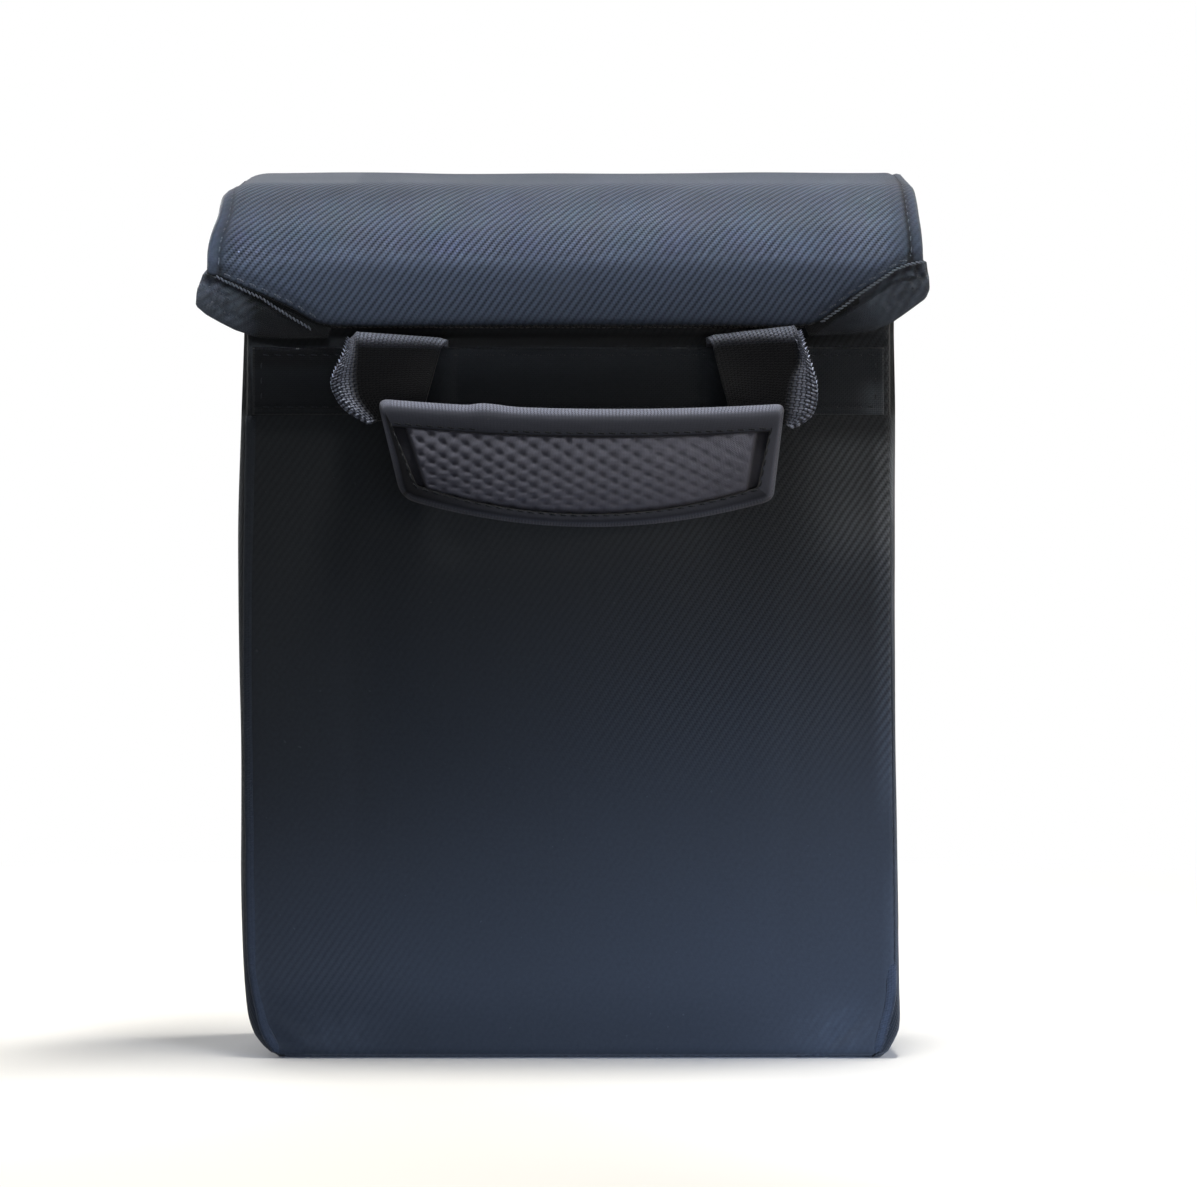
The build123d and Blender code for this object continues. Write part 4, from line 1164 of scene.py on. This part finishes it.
def makeBinding():
    loops = [gripLoop(inset) for inset, y, rub in bindingSection]
    count, last = len(loops[0]), len(bindingSection) - 1

    def at(a, b):
        index, row = int(round(a * count)) % count, int(round(b * last))
        return (index, row, loops[row][index], *bindingSection[row])

    def place(a, b):
        index, row, point, inset, y, wearAndLightLevel = at(a, b)
        z = point.y
        y += gripFront
        if index < gripSides:
            past = point.x - bindingOverlap["x"]
            over = bindingOverlap["out"] * smooth(past, -0.4, 0.4) * fade(past, 2, bindingOverlap["fade"])
            z += over * smooth(8 - inset, 4, 7)
            y -= 0.4 * over * (row < 8)
        y += 0.10 * ripple(point.x, point.y, 0.25, 55.0) * (row in range(2, 8)) + gripLean(z)
        return (point.x, y, z)

    def rub(a, b):
        index, row, point, inset, y, wearAndLightLevel = at(a, b)
        if index < gripSides + 3 or index > count - 5:          # the top, with its section's painted highlight
            return 0.5 * wearAndLightLevel
        # painted shade along the lower edge, low at both ends and on the left side
        onLow, onLeft = lowStart - 4 < index < lowStart + gripSides + 4, index > lowStart + gripSides + 2
        shade = 0.13 * onLow + 0.12 * smooth(abs(point.x - gripMiddle), 38, 54) * fade(point.y, 152, 160)
        shade += 0.16 * fade(point.x - gripMiddle, -50, -10) * (onLow or onLeft) * fade(point.y, 156, 166)
        shade += onLeft * (0.3 * smooth(inset, 3.0, 4.6) + 0.16 * fade(point.y, 156, 176))
        return min(wearAndLightLevel, 0.2) - shade
    bm = bmesh.new()
    addGrid(bm, count, last, place, (300, 22), rub=rub, blur=lambda a, b: 0.85 * fade(at(a, b)[-1], 0.05, 0.6))
    bmesh.ops.remove_doubles(bm, verts=bm.verts, dist=0.002 * mm)
    ring = finishPiece(bm, "gripBinding", "bindingTape", 0.6)
    addModifier(ring, "smooth", "SUBSURF", levels=1, render_levels=1)
    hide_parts("grip_top_binding", "grip_bottom_binding", "grip_left_binding", "grip_right_binding")
    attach(ring, "handle")


spacer = dict(pitchX=6.2, pitchZ=2.45, closing=0.45, holeX=1.2, holeZ=1.4, deep=0.75, knob=0.22, crown=1.3,
              channel=1.8, wide=102, tall=27)


def gripSheet(inset):
    # a map over the face inside the binding
    edge = gripLoop(inset, rounding=0.0)
    topRow, lowRow = edge[:gripSides], edge[lowStart:lowStart + gripSides][::-1]

    def across(row, share):
        at = share * (len(row) - 1)
        low = min(int(at), len(row) - 2)
        return row[low].lerp(row[low + 1], at - low)

    return lambda a, b: across(lowRow, a).lerp(across(topRow, a), b)


def makeMesh():
    face = gripSheet(6.4)

    def look(a, b):
        # the place, and its painted shade: holes shaded on one side, knobs a little paler, shade in the side
        # channels and under the binding's edges; rows of holes close up towards the lower edge, with knobs
        # between them
        x, z = face(a, b)
        fromSide = min(a, 1 - a) * spacer["wide"]
        fromLow, fromTop = b * spacer["tall"], (1 - b) * spacer["tall"]
        height = face(a, 1).y - face(a, 0).y
        v = (1 - b) * height / spacer["pitchZ"] * (1 + spacer["closing"] * (1 - b)) + 0.35
        squeeze = 1 / (1 + 2 * spacer["closing"] * (1 - b))
        row = floor(v)
        u = x / spacer["pitchX"] + 0.5 * (row % 2)
        du, dv = (u - floor(u) - 0.5) * spacer["pitchX"], (v - row - 0.5) * spacer["pitchZ"] * squeeze
        turn, tall = 0.35 * dv - du, spacer["holeZ"] * squeeze
        strength = 0.21 + 0.3 * smooth(-x, -50, 10) + 0.25 * smooth(-x, 0, 40) + 0.2 * smooth(b, 0.8, 0.95)
        strength *= smooth(fromSide, 3.8, 5.4)
        hole = strength * fade(hypot(turn / spacer["holeX"], dv / tall), 0.1, 1.25)
        knob = strength * fade(hypot((spacer["pitchX"] / 2 - abs(du)) / 2.2, dv / (1.5 * squeeze)), 0.0, 1.0)
        shaded = strength * fade(hypot((turn + 0.35) / spacer["holeX"], (dv - 0.2) / tall), 0.1, 1.25)
        crown = spacer["crown"] * sin(pi * min(max(b, 0), 1)) ** 0.55 + 0.15 * ripple(x, z, 0.12, 51.0)
        channel = spacer["channel"] * fade(fromSide, 3.4, 5.0)
        tuck = 0.8 * fade(fromTop, 1.0, 2.6) + 1.2 * fade(fromLow, 0.6, 2.8)
        y = gripFront + 0.55 - crown + spacer["deep"] * hole - spacer["knob"] * knob + max(channel, tuck)
        dark = 0.13 * shaded - 0.05 * knob + 0.24 * fade(fromSide, 3.6, 4.8)
        dark += 0.2 * fade(fromTop, 1.4, 2.6) + 0.2 * fade(fromLow, 1.0, 2.6)
        return (x, min(y, gripFront + 2.2) + gripLean(z), z), -min(dark, 0.3)

    pad = makeSheet("gripSpacerMesh", 340, 110, lambda a, b: look(a, b)[0], (spacer["wide"], spacer["tall"]),
                    "spacerMesh", 0.7, start=(0, 600), rub=lambda a, b: look(a, b)[1])
    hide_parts("grip_mesh")
    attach(pad, "handle")


def makeGrip():
    makeBinding()
    makeMesh()
    face = gripSheet(3.4)

    def coverPlace(a, b):
        x, z = face(a, b)
        return (x, gripBack - 0.2 + 0.1 * ripple(a * 100, b * 30, 0.1, 61.0) + gripLean(z), z)
    cover = makeSheet("gripBackCloth", 80, 24, coverPlace, (102, 26), "plainCloth", 0.7, start=(0, 640),
                      flip=True)
    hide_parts("grip_back_cover")
    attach(cover, "handle")

    foamLow, foamHigh = box("grip_foam")
    bm = bmesh.new()
    base = bm.faces.new([bm.verts.new(Vector((x, foamHigh.y - 0.3 + gripLean(z), z)) * mm)
                         for x, z in gripLoop(3.4)])
    made = bmesh.ops.extrude_face_region(bm, geom=[base])
    front = [item for item in made["geom"] if isinstance(item, bmesh.types.BMVert)]
    bmesh.ops.translate(bm, verts=front, vec=(0, (foamLow.y - foamHigh.y + 2.6) * mm, 0))
    bmesh.ops.recalc_face_normals(bm, faces=bm.faces)
    foam = finishPiece(bm, "gripFoamCore", "loopPile", softEdge=0.8, solid=True)
    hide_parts("grip_foam")
    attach(foam, "handle")

    line = gripLoop(7.0)
    row = [(x, gripFront - 0.3 + gripLean(z), z) for x, z in line + line[:1]]
    stitches = makeStitches("gripStitches", [row], (0, -1, 0), thread="darkThread", pitch=2.9, height=0.3)
    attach(stitches, "handle")
    rows = []
    for side, (low, high) in strapBox.items():
        inner, outer = (lerp(*strapLap[side], share) for share in (0.15, 0.85))
        top, bottom = low.z + 12.5, low.z + 2.0
        frameLine = [(inner, top), (outer, top), (outer, bottom), (inner, bottom), (inner, top)]
        for line in (frameLine, [(inner, top), (outer, bottom)], [(inner, bottom), (outer, top)]):
            rows.append([(x, gripBack + 1.6 + gripLean(z), z) for x, z in line])
    sewn = makeStitches("strapBoxStitches", rows, (0, 1, 0), pitch=2.9)
    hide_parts("strap_stitches")
    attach(sewn, "handle")


makeBand()
makeStraps()
makeGrip()
print("stage: handle done")


lining = dict(inset=1.25, ply=0.8, tapePly=0.55, lift=0.3)


def makeLinings():
    floorLow, floorHigh = box("base_lining")
    foot = floorLow.z + lining["lift"]

    def finishLining(name, node, *sheet, **finish):
        piece = makeSheet(name, *sheet, "coatedLining", lining["ply"], **finish)
        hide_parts(node)
        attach(piece, "bag")
    for way, name in ((-1, "front"), (1, "back")):
        def place(a, b):
            x, y, z = panelPoint(way, a, lerp(foot, panelTop[way], b), lining["inset"])
            return (x, y - way * 0.25 * abs(ripple(x, z, 0.035, 70.0 + way)), z)
        finishLining(name + "Lining", name + "_lining", 90, 110, place, (178, panelTop[way]),
                     start=(0, 300 * way), flip=way > 0)
    for side in sideSign:
        finishLining(side + "Lining", side + "_lining", 50, 100,
                     lambda a, b: gussetPoint(side, a, lerp(foot, gussetTop(a), b), lining["inset"]), (68, 226),
                     start=(400, 0), flip=side == "left")

    def basePlace(a, b):
        x, y, rim = floorPlace(a, b, 4, 1.6, 0.2)
        return (x, y, floorHigh.z + 0.9 * fade(rim, 0, 3) + 0.3 * ripple(x, y, 0.03, 77.0))
    finishLining("baseLining", "base_lining", 90, 40, basePlace, (168, 60), start=(600, 0))


# folded tape over the cloth's raw edge: depth in from the cloth's face and drop below its edge
tapeSection = [(-0.15, 7.0), (-0.55, 6.7), (-0.62, 5.5), (-0.55, 4.0), (-0.62, 2.5), (-0.62, 0.8),
               (-0.35, -0.1), (0.35, -0.6), (1.1, -0.72), (1.9, -0.6), (2.55, -0.1), (2.75, 0.8), (2.75, 2.5),
               (2.68, 4.0), (2.75, 5.5), (2.68, 6.7), (2.25, 7.0)]


def makeTape(side, columns, length, point, top, outward, flip):
    # point(a, z, inset) is a place on the bag's cloth and top(a) the height of its edge
    last = len(tapeSection) - 1

    def place(a, b):
        inset, drop = tapeSection[int(round(b * last))]
        x, y, z = point(a, top(a) - drop, inset)
        return (x, y, z + 0.12 * ripple(a * length, 0, 0.2, 81.0))
    tape = makeSheet(side + "MouthTape", columns, last, place, (length, 17), "bindingTape", lining["tapePly"],
                     start=(0, 800), flip=flip)
    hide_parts(side + "_mouth_tape")
    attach(tape, "bag")
    rows = [[point(step / columns, top(step / columns) - 5.6, inset) for step in range(columns + 1)]
            for inset in (-0.68, 2.8)]
    stitches = makeStitches(side + "MouthTapeStitches", rows, outward, length=2.2)
    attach(stitches, "bag")


def makeTapes():
    for way, name in ((-1, "front"), (1, "back")):
        makeTape(name, 110, 178, lambda a, z, inset: panelPoint(way, a, z, inset), lambda a: panelTop[way],
                 (0, way, 0), way < 0)
    for side, sign in sideSign.items():
        makeTape(side, 60, 70, lambda a, z, inset: gussetPoint(side, a, z, inset), gussetTop, (sign, 0, 0),
                 sign > 0)


closure = dict(loopFuzz=0.32, pilePly=0.5, hookPly=0.35, hookPitchX=2.1, hookPitchZ=1.9, hookHeight=0.85,
               hookWidth=0.2)


def addHook(bm, foot, way):
    # a bent monofilament, four-sided, as one small spin
    wide, high = closure["hookWidth"] * mm, closure["hookHeight"] * mm
    made = bmesh.ops.create_grid(bm, x_segments=1, y_segments=1, size=wide / 2)
    bmesh.ops.transform(bm, matrix=Matrix.Translation(foot * mm) @ Matrix.Rotation(radians(90), 4, "X"),
                        verts=made["verts"])
    edges = list({edge for vert in made["verts"] for edge in vert.link_edges})
    faces = list({face for vert in made["verts"] for face in vert.link_faces})
    bmesh.ops.spin(bm, geom=faces + edges + made["verts"], cent=foot * mm + Vector((way * high / 2.2, 0, 0)),
                   axis=(0, 0, -way), dvec=(0, high * 0.12, 0), angle=radians(150), steps=4,
                   use_duplicate=False)


def makeClosure():
    low, high = box("loop_strip")
    tapeFoot = box("front_mouth_tape")[0].z

    def pilePlace(a, b):
        x, z = lerp(low.x, high.x, a), lerp(low.z, high.z, b)
        edge = fromRim(a, b, high.x - low.x, high.z - low.z)
        fuzz = closure["loopFuzz"] * (ripple(x, z, 1.1, 91.0) + 0.6 * ripple(x, z, 2.3, 92.0))
        out = 1.0 + 0.25 * smooth(z, tapeFoot - 1, tapeFoot) + fuzz * smooth(edge, 0.5, 1.5)
        out -= 0.35 * fade(edge, 0, 1.2)
        return (x, frontFace - 0.05 - min(out, 1.34), z)

    def sewingRows(y, levels):
        return [[(lerp(low.x + 2, high.x - 2, step / 60), y, z) for step in range(61)] for z in levels]
    pile = makeSheet("loopStripPile", 420, 42, pilePlace, (160, 15.3), "loopPile", closure["pilePly"],
                     start=(0, 900))
    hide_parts("loop_strip")
    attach(pile, "bag")
    rows = sewingRows(frontFace - 1.35, (low.z + 1.3, high.z - 1.3))
    sewn = makeStitches("loopStripStitches", rows, (0, -1, 0))
    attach(sewn, "bag")

    low, high = box("hook_strip")

    def tapePlace(a, b):
        x, z = lerp(low.x, high.x, a), lerp(low.z + 1.2, high.z, b)
        return (x, low.y + 0.38 + 0.05 * sin(x * 2.2), z)
    tape = makeSheet("hookStripTape", 200, 14, tapePlace, (160, 12), "hookTape", closure["hookPly"],
                     start=(0, 940), flip=True)
    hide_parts("hook_strip")
    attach(tape, "flap_front")
    bm = bmesh.new()
    pitchX, pitchZ = closure["hookPitchX"], closure["hookPitchZ"]
    for index, way in enumerate((1, -1)):
        addHook(bm, Vector((low.x + 3 + index * pitchX, low.y + 0.35, low.z + 2.6)), way)
    hooks = finishPiece(bm, "hookStripHooks", "hookTape", solid=True)
    for count, step in ((int((high.x - low.x - 6) / pitchX / 2) + 1, (2 * pitchX, 0, 0)),
                        (int((high.z - low.z - 4) / pitchZ) + 1, (0.4, 0, pitchZ))):
        addModifier(hooks, "repeat", "ARRAY", count=count, use_relative_offset=False, use_constant_offset=True,
                    constant_offset_displace=Vector(step) * mm)
    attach(hooks, "flap_front")
    rows = sewingRows(low.y + 0.42, (low.z + 1.7, high.z - 0.9))
    sewn = makeStitches("hookStripStitches", rows, (0, 1, 0))
    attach(sewn, "flap_front")


def keepNode(node, look):
    # a CAD part that stays gets its own finish
    mesh = bpy.data.objects[node].data
    mesh.materials.clear()
    mesh.materials.append(solidCloths[look])


makeLinings()
makeTapes()
makeClosure()
keepNode("base_board", "stiffener")
print("stage: inside and closure done")

view = dict(x=8.3, z=128.2, distance=1100, across=330.0, sensor=36)      # mm
studio = dict(
    world=0.03, floor=0.8, bounce=0.15, floorSize=4.0,
    whiteFrom=0.5, whiteTo=0.8,      # metres from the bag where the floor turns white
    lamps=[
        dict(name="overhead", at=(0.10, -0.04, 1.15), aim=(0, 0, 0.2), size=(0.5, 0.16), power=13.6,
             color=(1, 0.96, 0.87)),
        dict(name="flapStrip", at=(0.09, -0.80, 0.72), aim=(0.02, -0.033, 0.2325), size=(0.36, 0.015),
             power=0.07, spread=4.5, color=(0.97, 1, 1.02)),
        dict(name="front", at=(0.5, -1.4, 0.35), aim=(0, 0, 0.1), size=(0.9, 0.9), power=0.3),
        dict(name="low", at=(0.28, -0.40, 0.05), aim=(0.08, -0.034, -0.01), size=(0.2, 0.08), power=0.153,
             spread=40, color=(0.72, 0.92, 1.33)),
        dict(name="lowLeft", at=(-0.22, -0.28, 0.03), aim=(-0.06, -0.034, 0.012), size=(0.1, 0.03), power=0.008,
             spread=26, color=(0.76, 0.94, 1.33)),
        dict(name="warm", at=(0.35, -0.35, 0.2), aim=(0.10, -0.03, 0.15), size=(0.12, 0.12), power=0.02,
             spread=30, color=(1, 0.86, 0.68)),
        dict(name="rear", at=(-0.4, 1.3, 0.6), aim=(0, 0, 0.12), size=(1.0, 1.0), power=10),
        dict(name="left", at=(-1.2, 0.55, 0.5), aim=(0, 0, 0.12), size=(0.9, 0.9), power=7),
        dict(name="right", at=(1.2, 0.40, 0.5), aim=(0, 0, 0.12), size=(0.9, 0.9), power=9,
             color=(1, 0.95, 0.86)),
    ],
)


def plainlySeen(tree):
    # one where the camera or a glossy reflection looks, none where light bounces
    path = addNode(tree, "LightPath")
    return Signal(path, "Is Camera Ray").math("MAXIMUM", Signal(path, "Is Glossy Ray"))


def makeFloor():
    look = bpy.data.materials.new("paleFloor")
    look.use_nodes = True
    tree = look.node_tree
    shader, seen = tree.nodes["Principled BSDF"], plainlySeen(tree)
    radius = addNode(tree, "VectorMath", {0: Signal(addNode(tree, "TexCoord"), "Object")}, operation="LENGTH")
    fadeOut = addNode(tree, "MapRange", {"Value": Signal(radius, "Value"), "From Min": studio["whiteFrom"],
                                         "From Max": studio["whiteTo"]}, interpolation_type="SMOOTHSTEP")
    # pale to the eye, but it throws little light back up
    tone = addNode(tree, "Mix", {0: seen, 6: (*[studio["bounce"]] * 3, 1), 7: (*[studio["floor"]] * 3, 1)},
                   data_type="RGBA")
    fill(shader, {"Roughness": 0.9, "Base Color": Signal(tone, 2)})
    # away from the bag the floor is plain white, like the world
    mixed = addNode(tree, "MixShader", {0: seen * Signal(fadeOut), 1: Signal(shader),
                                        2: Signal(addNode(tree, "Emission"))})
    fill(tree.nodes["Material Output"], {"Surface": Signal(mixed)})
    bm = bmesh.new()
    bmesh.ops.create_grid(bm, x_segments=1, y_segments=1, size=studio["floorSize"])
    mesh = bpy.data.meshes.new("floor")
    bm.to_mesh(mesh)
    bm.free()
    mesh.materials.append(look)
    ground = bpy.data.objects.new("floor", mesh)
    bpy.context.collection.objects.link(ground)


def makeWorld():
    world = bpy.data.worlds.new("studio")
    bpy.context.scene.world = world
    world.use_nodes = True
    tree = world.node_tree
    level = addNode(tree, "MapRange", {"Value": plainlySeen(tree), "To Min": studio["world"]})
    fill(tree.nodes["Background"], {0: (1, 1, 1, 1), "Strength": Signal(level)})


def makeLamps():
    for lamp in studio["lamps"]:
        data = bpy.data.lights.new(lamp["name"], "AREA")
        data.shape = "RECTANGLE"
        data.size, data.size_y = lamp["size"]
        data.energy, data.color = lamp["power"], lamp.get("color", (1, 1, 1))
        data.spread = radians(lamp.get("spread", 180))
        item = bpy.data.objects.new(lamp["name"], data)
        item.location = lamp["at"]
        item.rotation_euler = (Vector(lamp["aim"]) - Vector(lamp["at"])).to_track_quat("-Z", "Y").to_euler()
        bpy.context.collection.objects.link(item)


def makeCamera():
    data = bpy.data.cameras.new("camera")
    data.sensor_width = view["sensor"]
    data.lens = view["sensor"] * view["distance"] / view["across"]
    camera = bpy.data.objects.new("camera", data)
    camera.location = (view["x"] * mm, (frontFace - view["distance"]) * mm, view["z"] * mm)
    camera.rotation_euler = (radians(90), 0, 0)
    bpy.context.collection.objects.link(camera)
    bpy.context.scene.camera = camera
    bpy.context.scene.view_settings.view_transform = "Standard"


makeFloor()
makeWorld()
makeLamps()
makeCamera()
print("stage: floor, lights and camera done")
